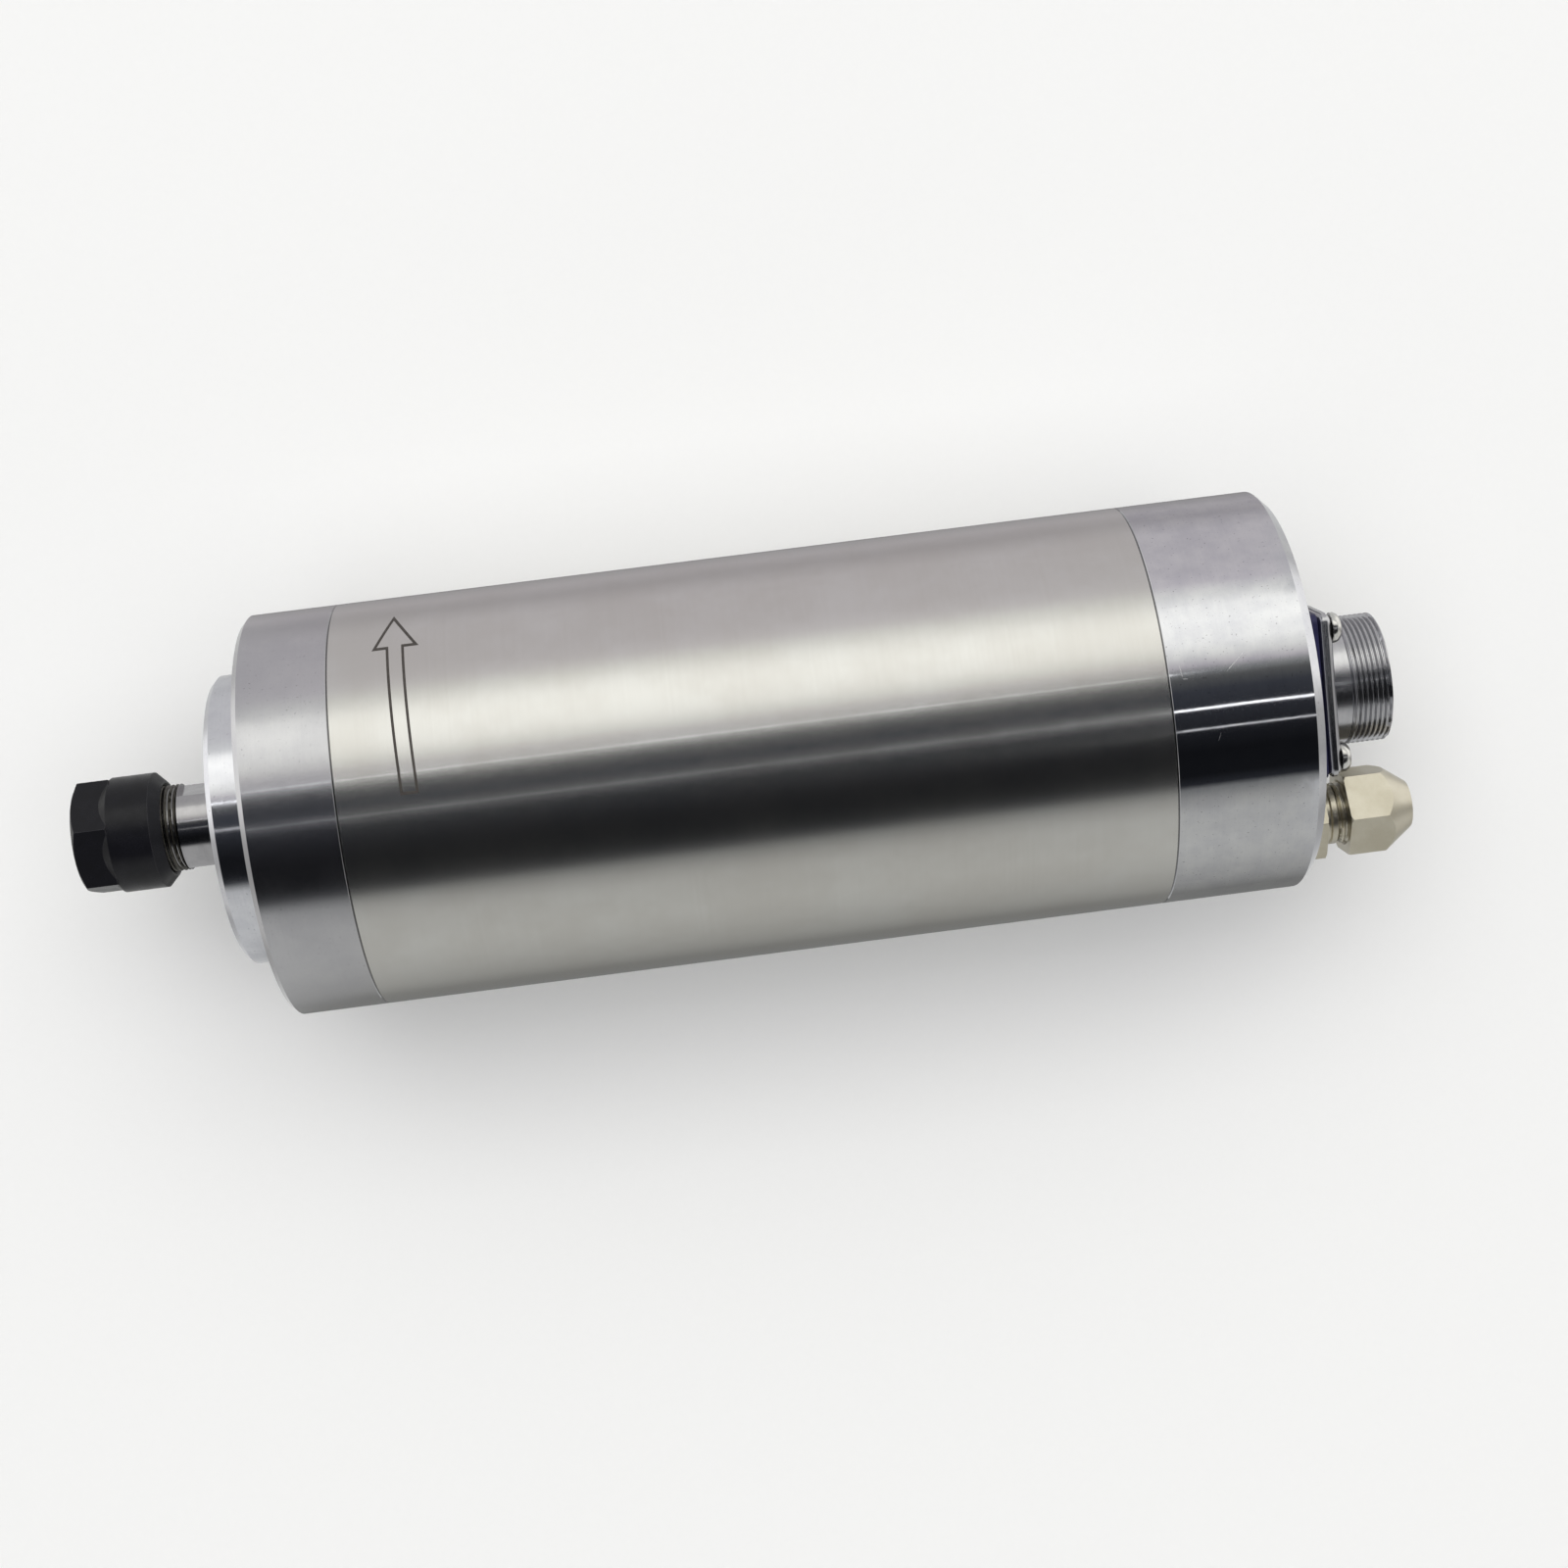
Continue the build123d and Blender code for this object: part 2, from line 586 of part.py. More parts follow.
def make_connector_shell():
    thread_x = BARREL_X + BARREL_ROOT_LENGTH
    barrel = turned(
        (SKIRT_X, SOCKET_R),
        (SKIRT_X, SKIRT_R),
        (FLANGE_X, SKIRT_R),
        (FLANGE_X, BARREL_ROOT_R),
        (thread_x, BARREL_ROOT_R),
        (thread_x + 0.25, BARREL_R),
        (BARREL_END_X - 0.5, BARREL_R),
        (BARREL_END_X, BARREL_R - 0.5),
        (BARREL_END_X, SOCKET_R),
    )
    plate = flange_plate(FLANGE_X, BARREL_X) - rod(FLANGE_X, BARREL_X, SKIRT_R)
    key = Box(SOCKET_DEPTH - 1.5, 1.2, 2.0, align=(Align.MIN, Align.MIN, Align.CENTER))
    key = Rot(CONNECTOR_TURN + 45, 0, 0) * Pos(INSULATOR_X[1], SOCKET_R - 0.8, 0) * key
    return barrel + plate + key - flange_screw_hole(FLANGE_X, BARREL_X, M3_CLEARANCE_R)


def make_gasket():
    plate = flange_plate(GASKET_X, FLANGE_X) - rod(GASKET_X, FLANGE_X, SKIRT_R)
    return plate - flange_screw_hole(GASKET_X, FLANGE_X, M3_CLEARANCE_R)


def connector_pins():
    tail = rod(PIN_X[0], PIN_X[1] - 0.5, PIN_R, PIN_CIRCLE_R)
    tip = turned(
        (PIN_X[1] - 0.5, 0), (PIN_X[1] - 0.5, PIN_R), (PIN_X[1], PIN_R - 0.5), (PIN_X[1], 0)
    )
    return around(tail + Pos(0, PIN_CIRCLE_R, 0) * tip, even_angles(PINS, CONNECTOR_TURN))


def make_insulator():
    body = rod(*INSULATOR_X, SOCKET_R)
    hole = rod(*INSULATOR_X, PIN_R, PIN_CIRCLE_R)
    return body - around(hole, even_angles(PINS, CONNECTOR_TURN))


def connector_screws():
    screws = []
    head = turned(
        (BARREL_X, 0), (BARREL_X, 2.5), (BARREL_X + 0.9, 2.5), (BARREL_X + 1.6, 1.9), (BARREL_X + 1.9, 0)
    )
    head += rod(FLANGE_SCREW_TIP, BARREL_X, M3_R)
    for y in (-FLANGE_SCREW_OFFSET, FLANGE_SCREW_OFFSET):
        for z in (-FLANGE_SCREW_OFFSET, FLANGE_SCREW_OFFSET):
            screws.append(Rot(CONNECTOR_TURN, 0, 0) * Pos(0, y, z) * head)
    return screws


# --- Hose fittings ------------------------------------------------------------
HEX_X = (BODY_LENGTH + WASHER_THICKNESS, BODY_LENGTH + WASHER_THICKNESS + FITTING_HEX_HEIGHT)
FITTING_END_X = 178.2
HOSE_STOP_X = 172.5
FERRULE_END_X = FITTING_END_X + 2.0


def at_fitting(shape, angle):
    """Move a shape from the axis to a fitting's place without turning it."""
    radians = math.radians(angle)
    y = FITTING_CIRCLE_R * math.cos(radians)
    z = FITTING_CIRCLE_R * math.sin(radians)
    return Pos(0, y, z) * shape


def make_fitting():
    neck_r = FITTING_THREAD_R - 0.3
    spindle = turned(
        (STUD_HOLE_END + 1, FITTING_WATERWAY_R),
        (STUD_HOLE_END + 1, FITTING_THREAD_R),
        (HEX_X[1], FITTING_THREAD_R),
        (HEX_X[1], neck_r),
        (HEX_X[1] + 1.0, neck_r),
        (HEX_X[1] + 1.2, FITTING_THREAD_R),
        (FITTING_END_X, FITTING_THREAD_R),
        (FITTING_END_X, HOSE_R),
        (HOSE_STOP_X, HOSE_R),
        (HOSE_STOP_X, FITTING_WATERWAY_R),
    )
    corner_r = FITTING_FLATS / 2 / math.cos(math.radians(30))
    base = hexagon(*HEX_X, FITTING_FLATS, FITTING_HEX_TURN) & ring(*HEX_X, 0, corner_r, 0.4)
    return spindle + (base - rod(*HEX_X, FITTING_THREAD_R))


def make_hose_nut():
    corner_r = HOSE_NUT_FLATS / 2 / math.cos(math.radians(30))
    start, end = HOSE_NUT_X
    envelope = turned(
        (start, 0),
        (start, corner_r - 0.3),
        (start + 0.3, corner_r),
        (HOSE_NUT_CONE_X, corner_r),
        (end, HOSE_NUT_TIP_R),
        (end, 0),
    )
    cavity = turned(
        (start, 0),
        (start, FITTING_THREAD_R + 0.4),
        (start + 0.4, FITTING_THREAD_R),
        (FERRULE_END_X - 1.2, FITTING_THREAD_R),
        (FERRULE_END_X, HOSE_R + 0.5),
        (FERRULE_END_X, HOSE_R),
        (end, HOSE_R),
        (end, 0),
    )
    return (hexagon(start, end, HOSE_NUT_FLATS, HOSE_NUT_TURN) & envelope) - cavity


def make_ferrule():
    return turned(
        (FITTING_END_X, HOSE_R),
        (FITTING_END_X, FITTING_THREAD_R - 0.3),
        (FERRULE_END_X - 1.4, FITTING_THREAD_R - 0.3),
        (FERRULE_END_X - 0.1, HOSE_R + 0.4),
        (FERRULE_END_X - 0.1, HOSE_R),
    )


def build_chuck_and_rotor():
    core, front_ring, rear_ring = make_rotor()
    export("collet_nut", make_collet_nut())
    export("collet", make_collet())
    export("spindle_shaft", make_shaft())
    export("dust_slinger", make_slinger())
    export("bearing_lock_nut", make_lock_nut())
    export("rotor_core", core)
    export("rotor_end_rings", front_ring, rear_ring)


def build_bearings():
    width = FRONT_BEARING[2]
    pair = [
        make_bearing(FRONT_BEARING_X + index * width, FRONT_BEARING, FRONT_BALLS) for index in range(2)
    ]
    export("front_bearing_inner_rings", *[bearing[0] for bearing in pair])
    export("front_bearing_outer_rings", *[bearing[1] for bearing in pair])
    export("front_bearing_balls", *[ball for bearing in pair for ball in bearing[2]])
    export("front_bearing_cages", *[bearing[3] for bearing in pair])
    inner, outer, balls, cage = make_bearing(REAR_BEARING_X, REAR_BEARING, REAR_BALLS)
    export("rear_bearing_inner_ring", inner)
    export("rear_bearing_outer_ring", outer)
    export("rear_bearing_balls", *balls)
    export("rear_bearing_cage", cage)


def build_housing():
    core, windings = make_stator()
    cover_screw = socket_screw(-BOSS_LENGTH, COVER_SCREW_END, COVER_SCREW_CIRCLE_R)
    cap_screw = socket_screw(0, CAP_SCREW_END, CAP_SCREW_CIRCLE_R)
    rear_screw_length = BODY_LENGTH - REAR_CAP_SCREW_TIP
    rear_screw = socket_screw(0, rear_screw_length, CAP_SCREW_CIRCLE_R)
    rear_screw = Pos(BODY_LENGTH, 0, 0) * Rot(0, 0, 180) * Rot(180, 0, 0) * rear_screw
    export("front_cover", make_front_cover())
    export("front_cover_screws", *around(cover_screw, even_angles(4, 45)))
    export("front_end_cap", make_front_end_cap())
    export("front_cap_screws", *around(cap_screw, even_angles(4)))
    export("front_o_ring", make_o_ring(FRONT_O_RING_X))
    export("outer_jacket", make_jacket())
    export("cooling_sleeve", make_cooling_sleeve())
    export("stator_core", core)
    export("stator_windings", windings)
    export("rear_end_cap", make_rear_end_cap())
    export("rear_cap_screws", *around(rear_screw, even_angles(4, 45)))
    export("rear_o_ring", make_o_ring(REAR_O_RING_X))
    export("preload_spring", make_preload_spring())
    export("motor_leads", make_leads())


def build_connector():
    export("connector_gasket", make_gasket())
    export("connector_shell", make_connector_shell())
    export("connector_insulator", make_insulator())
    export("connector_pins", *connector_pins())
    export("connector_screws", *connector_screws())


def build_fittings():
    washer = ring(BODY_LENGTH, HEX_X[0], FITTING_THREAD_R, WASHER_R)
    export("fitting_washers", *[at_fitting(washer, angle) for angle in FITTING_ANGLES])
    export("hose_ferrules", *[at_fitting(make_ferrule(), angle) for angle in FITTING_ANGLES])
    for name, angle in zip(("inlet", "outlet"), FITTING_ANGLES):
        export(name + "_fitting", at_fitting(make_fitting(), angle))
        export(name + "_hose_nut", at_fitting(make_hose_nut(), angle))


build_chuck_and_rotor()
build_bearings()
build_housing()
build_connector()
build_fittings()
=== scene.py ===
import json
import math
import bpy
from mathutils import Matrix, Vector


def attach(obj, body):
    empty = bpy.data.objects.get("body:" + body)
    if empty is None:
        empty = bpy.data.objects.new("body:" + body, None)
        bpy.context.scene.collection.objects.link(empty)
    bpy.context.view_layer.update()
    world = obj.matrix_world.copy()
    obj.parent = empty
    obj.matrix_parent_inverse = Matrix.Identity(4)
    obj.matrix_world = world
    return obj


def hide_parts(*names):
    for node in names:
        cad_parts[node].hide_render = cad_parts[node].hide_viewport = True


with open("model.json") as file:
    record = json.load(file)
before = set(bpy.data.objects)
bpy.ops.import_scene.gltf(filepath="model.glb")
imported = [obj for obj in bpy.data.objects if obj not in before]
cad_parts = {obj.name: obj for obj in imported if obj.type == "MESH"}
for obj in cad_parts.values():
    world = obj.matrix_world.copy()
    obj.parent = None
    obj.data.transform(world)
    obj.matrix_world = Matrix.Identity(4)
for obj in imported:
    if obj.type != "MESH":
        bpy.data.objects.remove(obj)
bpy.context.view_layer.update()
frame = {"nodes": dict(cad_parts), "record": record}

# sizes in the dictionaries are millimetres along and about the spindle's axis, angles are degrees
mm = 0.001
fullTurn = 2 * math.pi
# where the tube meets the front cap and the rear cap
tubeEnds = (14.6, 140.8)


# sRGB hex to the linear values that the shaders take
def linear(hexColour):
    channels = [int(hexColour[i:i + 2], 16) / 255 for i in (1, 3, 5)]
    toLinear = [c / 12.92 if c <= 0.04045 else ((c + 0.055) / 1.055) ** 2.4 for c in channels]
    return (*toLinear, 1.0)


# adds one node; inputs take plain values or the output socket of another node
def addNode(tree, kind, settings={}, inputs={}):
    node = tree.nodes.new(kind)
    for key, value in settings.items():
        setattr(node, key, value)
    for key, value in inputs.items():
        if isinstance(value, bpy.types.NodeSocket):
            tree.links.new(value, node.inputs[key])
        else:
            node.inputs[key].default_value = value
    return node


# the camera looks down on the lying spindle, with the nose at the lower left
cameraPlace = {
    "position": (71.297, 0.0, 395.217),
    "yaw": 0.027718,  # radians, as are the next two
    "pitch": 0.013641,
    "roll": -0.126267,
    "focalPixels": 2472.1,
    "framePixels": 1600,
    "sensorMm": 36.0,
    "clipStart": 0.01,
}


def makeCamera(place):
    data = bpy.data.cameras.new("viewCamera")
    data.sensor_width = place["sensorMm"]
    data.lens = place["focalPixels"] / place["framePixels"] * place["sensorMm"]
    data.clip_start = place["clipStart"]
    camera = bpy.data.objects.new("viewCamera", data)
    bpy.context.scene.collection.objects.link(camera)
    yaw = Matrix.Rotation(place["yaw"], 3, "Y").transposed()
    pitch = Matrix.Rotation(place["pitch"], 3, "X")
    roll = Matrix.Rotation(place["roll"], 3, "Z")
    straightDown = Matrix(((1, 0, 0), (0, -1, 0), (0, 0, -1)))
    # rows that point right, down and ahead; a camera's own axes point right, up and back
    rows = roll @ pitch @ yaw @ straightDown
    turned = Matrix((rows[0], -rows[1], -rows[2])).transposed().to_4x4()
    turned.translation = Vector(place["position"]) * mm
    camera.matrix_world = turned
    bpy.context.scene.camera = camera


makeCamera(cameraPlace)
print("camera done")


# the studio: pale floor, soft lamps that lean to +Y and a black flag over the other side
studio = {
    "floorSize": 6.0,  # metres
    "floorZ": -32.5,
    "floorColour": "#f5f5f5",
    "floorRoughness": 0.9,
    "fibreScale": 900.0,
    "fibreShade": 0.985,
    "middleX": 0.07,  # metres
    "keyEnergy": 27.0,
    "keySize": 2.4,
    "keyPosition": (0.07, 0.25, 1.7),
}
# tints of the room's light
tints = {
    "pink": (1.0, 0.95, 0.975),
    "cream": (1.0, 0.995, 0.945),
    "grey": (0.98, 1.0, 0.985),
    "straw": (1.0, 1.0, 0.955),
    "ink": (0.9, 0.97, 1.16),
}
# angle from straight up, positive to +Y, then the brightness and the tint of the room there
bands = [
    (-180, 0.18, "grey"), (-143, 0.21, "straw"), (-128, 0.34, "straw"), (-106, 0.47, "straw"),
    (-90, 0.53, "straw"), (-68, 0.49, "straw"), (-59, 0.36, "straw"), (-52, 0.20, "grey"),
    (-49.5, 0.026, "ink"), (-44, 0.009, "ink"), (-30, 0.008, "ink"), (-22, 0.014, "ink"),
    (-8, 0.034, "ink"), (4, 0.052, "ink"), (11, 0.11, "grey"), (15, 0.28, "grey"),
    (18, 0.56, "pink"), (24, 0.90, "cream"), (31, 1.16, "cream"), (43, 1.28, "cream"),
    (52, 1.20, "cream"), (60, 0.92, "cream"), (68, 0.66, "pink"), (77, 0.61, "pink"),
    (110, 0.58, "pink"), (128, 0.42, "pink"), (143, 0.46, "pink"), (180, 0.20, "grey"),
]
# narrow lights: where, half as wide, how bright towards the rear and over the rest
slits = [
    {"at": -6.1, "half": 0.6, "rear": 1.9, "rest": 0.75},
    {"at": -17.5, "half": 0.45, "rear": 0.75, "rest": 0.0},
    {"at": 14.4, "half": 0.45, "rear": 0.0, "rest": 2.6},
]
# outer and inner are the degrees over which an edge fades; X, Y and Z, here and in the next two
# dictionaries, are parts of a direction and run from -1 to 1
slitFade = {"rearX": (0.18, 0.19), "outer": 0.25, "inner": 0.2}
# pale sides beyond both ends of the lamps
wings = {
    "colour": (0.6, 0.605, 0.6), "centreX": 0.0275, "fromX": (0.208, 0.215), "belowZ": (0.6, 0.53),
}
# pale walls past both ends, with a shade for each place across them, and a darker foot
endWalls = {
    "colour": (1.1, 1.09, 1.06), "fromX": (0.38, 0.8), "belowZ": (0.52, 0.30), "acrossY": (-0.5, 0.5),
    "shades": ((0.0, 0.62), (0.14, 0.62), (0.26, 0.36), (0.40, 0.42), (0.56, 1.0), (1.0, 1.0)),
    "footZ": (-0.42, -0.6), "footShade": 0.55,
}


# stops are a position from 0 to 1 and a colour; a new ramp has two stops already
def fillRamp(ramp, stops):
    elements = ramp.color_ramp.elements
    for index, (position, colour) in enumerate(stops):
        stop = elements[index] if index < 2 else elements.new(1.0)
        stop.position = position
        stop.color = (*colour, 1)


def scaled(colour, brightness):
    return [brightness * channel for channel in colour]


def addBands(tree, angle):
    along = addNode(tree, "ShaderNodeMapRange", {}, {
        "Value": angle, "From Min": -math.pi, "From Max": math.pi})
    ramp = addNode(tree, "ShaderNodeValToRGB", {}, {"Fac": along.outputs[0]})
    fillRamp(ramp, [((degrees + 180) / 360, scaled(tints[tint], brightness))
                    for degrees, brightness, tint in bands])
    return ramp.outputs["Color"]


def addSlit(tree, sky, angle, x, slit):
    offset = addNode(tree, "ShaderNodeMath", {"operation": "SUBTRACT"}, {
        0: angle, 1: math.radians(slit["at"])})
    away = addNode(tree, "ShaderNodeMath", {"operation": "ABSOLUTE"}, {0: offset.outputs[0]})
    across = addNode(tree, "ShaderNodeMapRange", {}, {
        "Value": away.outputs[0], "From Min": math.radians(slit["half"] + slitFade["outer"]),
        "From Max": math.radians(slit["half"] - slitFade["inner"])})
    shown = addNode(tree, "ShaderNodeMapRange", {}, {
        "Value": x, "From Min": slitFade["rearX"][0], "From Max": slitFade["rearX"][1],
        "To Min": slit["rest"], "To Max": slit["rear"]})
    glow = addNode(tree, "ShaderNodeMath", {"operation": "MULTIPLY"}, {
        0: across.outputs[0], 1: shown.outputs[0]})
    return addNode(tree, "ShaderNodeMix", {"data_type": "RGBA", "blend_type": "ADD"}, {
        0: 1.0, 6: sky, 7: glow.outputs[0]}).outputs[2]


def addWings(tree, sky, x, z):
    offset = addNode(tree, "ShaderNodeMath", {"operation": "SUBTRACT"}, {0: x, 1: wings["centreX"]})
    away = addNode(tree, "ShaderNodeMath", {"operation": "ABSOLUTE"}, {0: offset.outputs[0]})
    beyond = addNode(tree, "ShaderNodeMapRange", {}, {
        "Value": away.outputs[0], "From Min": wings["fromX"][0], "From Max": wings["fromX"][1]})
    below = addNode(tree, "ShaderNodeMapRange", {}, {
        "Value": z, "From Min": wings["belowZ"][0], "From Max": wings["belowZ"][1]})
    shown = addNode(tree, "ShaderNodeMath", {"operation": "MULTIPLY"}, {
        0: beyond.outputs[0], 1: below.outputs[0]})
    return addNode(tree, "ShaderNodeMix", {"data_type": "RGBA"}, {
        0: shown.outputs[0], 6: sky, 7: (*wings["colour"], 1)}).outputs[2]


def addEndWalls(tree, sky, x, y, z):
    length = addNode(tree, "ShaderNodeMath", {"operation": "ABSOLUTE"}, {0: x})
    beyond = addNode(tree, "ShaderNodeMapRange", {"interpolation_type": "SMOOTHSTEP"}, {
        "Value": length.outputs[0], "From Min": endWalls["fromX"][0],
        "From Max": endWalls["fromX"][1]})
    below = addNode(tree, "ShaderNodeMapRange", {"interpolation_type": "SMOOTHSTEP"}, {
        "Value": z, "From Min": endWalls["belowZ"][0], "From Max": endWalls["belowZ"][1]})
    shown = addNode(tree, "ShaderNodeMath", {"operation": "MULTIPLY"}, {
        0: beyond.outputs[0], 1: below.outputs[0]})
    across = addNode(tree, "ShaderNodeMapRange", {}, {
        "Value": y, "From Min": endWalls["acrossY"][0], "From Max": endWalls["acrossY"][1]})
    shade = addNode(tree, "ShaderNodeValToRGB", {}, {"Fac": across.outputs[0]})
    fillRamp(shade, [(position, scaled(endWalls["colour"], brightness))
                     for position, brightness in endWalls["shades"]])
    foot = addNode(tree, "ShaderNodeMapRange", {"interpolation_type": "SMOOTHSTEP"}, {
        "Value": z, "From Min": endWalls["footZ"][0], "From Max": endWalls["footZ"][1],
        "To Min": 1.0, "To Max": endWalls["footShade"]})
    lit = addNode(tree, "ShaderNodeVectorMath", {"operation": "SCALE"}, {
        0: shade.outputs["Color"], "Scale": foot.outputs[0]})
    return addNode(tree, "ShaderNodeMix", {"data_type": "RGBA"}, {
        0: shown.outputs[0], 6: sky, 7: lit.outputs[0]}).outputs[2]


def makeWorld():
    world = bpy.data.worlds.new("studio")
    bpy.context.scene.world = world
    world.use_nodes = True
    tree = world.node_tree
    # in a world this is the direction looked in
    direction = addNode(tree, "ShaderNodeTexCoord").outputs["Generated"]
    split = addNode(tree, "ShaderNodeSeparateXYZ", {}, {"Vector": direction})
    x, y, z = (split.outputs[axis] for axis in "XYZ")
    angle = addNode(tree, "ShaderNodeMath", {"operation": "ARCTAN2"}, {0: y, 1: z}).outputs[0]
    sky = addBands(tree, angle)
    for slit in slits:
        sky = addSlit(tree, sky, angle, x, slit)
    sky = addWings(tree, sky, x, z)
    sky = addEndWalls(tree, sky, x, y, z)
    tree.links.new(sky, tree.nodes["Background"].inputs["Color"])
    bpy.context.scene.view_settings.view_transform = "Standard"


# matt seamless paper, very slightly uneven
def makePaper():
    paper = bpy.data.materials.new("seamlessPaper")
    paper.use_nodes = True
    tree = paper.node_tree
    place = addNode(tree, "ShaderNodeTexCoord").outputs["Object"]
    fibres = addNode(tree, "ShaderNodeTexNoise", {}, {
        "Vector": place, "Scale": studio["fibreScale"]})
    shade = addNode(tree, "ShaderNodeMapRange", {}, {
        "Value": fibres.outputs[0], "To Min": studio["fibreShade"], "To Max": 1.0})
    tint = addNode(tree, "ShaderNodeMix", {"data_type": "RGBA", "blend_type": "MULTIPLY"}, {
        0: 1.0, 6: linear(studio["floorColour"]), 7: shade.outputs[0]})
    shader = tree.nodes["Principled BSDF"]
    tree.links.new(tint.outputs[2], shader.inputs["Base Color"])
    shader.inputs["Roughness"].default_value = studio["floorRoughness"]
    return paper


def makeFloor():
    bpy.ops.mesh.primitive_plane_add(
        size=studio["floorSize"], location=(studio["middleX"], 0, studio["floorZ"] * mm))
    floor = bpy.context.object
    floor.name = "studioFloor"
    bpy.ops.object.transform_apply(location=True)
    floor.visible_glossy = False  # the metal's underside shows the darker room instead
    floor.data.materials.append(makePaper())


def makeKeyLight():
    data = bpy.data.lights.new("softKey", "AREA")
    data.size = studio["keySize"]
    data.energy = studio["keyEnergy"]
    light = bpy.data.objects.new("softKey", data)
    light.location = studio["keyPosition"]
    light.visible_glossy = False  # the metal shows the room's lamps instead
    bpy.context.scene.collection.objects.link(light)


makeWorld()
makeFloor()
makeKeyLight()
print("studio done")


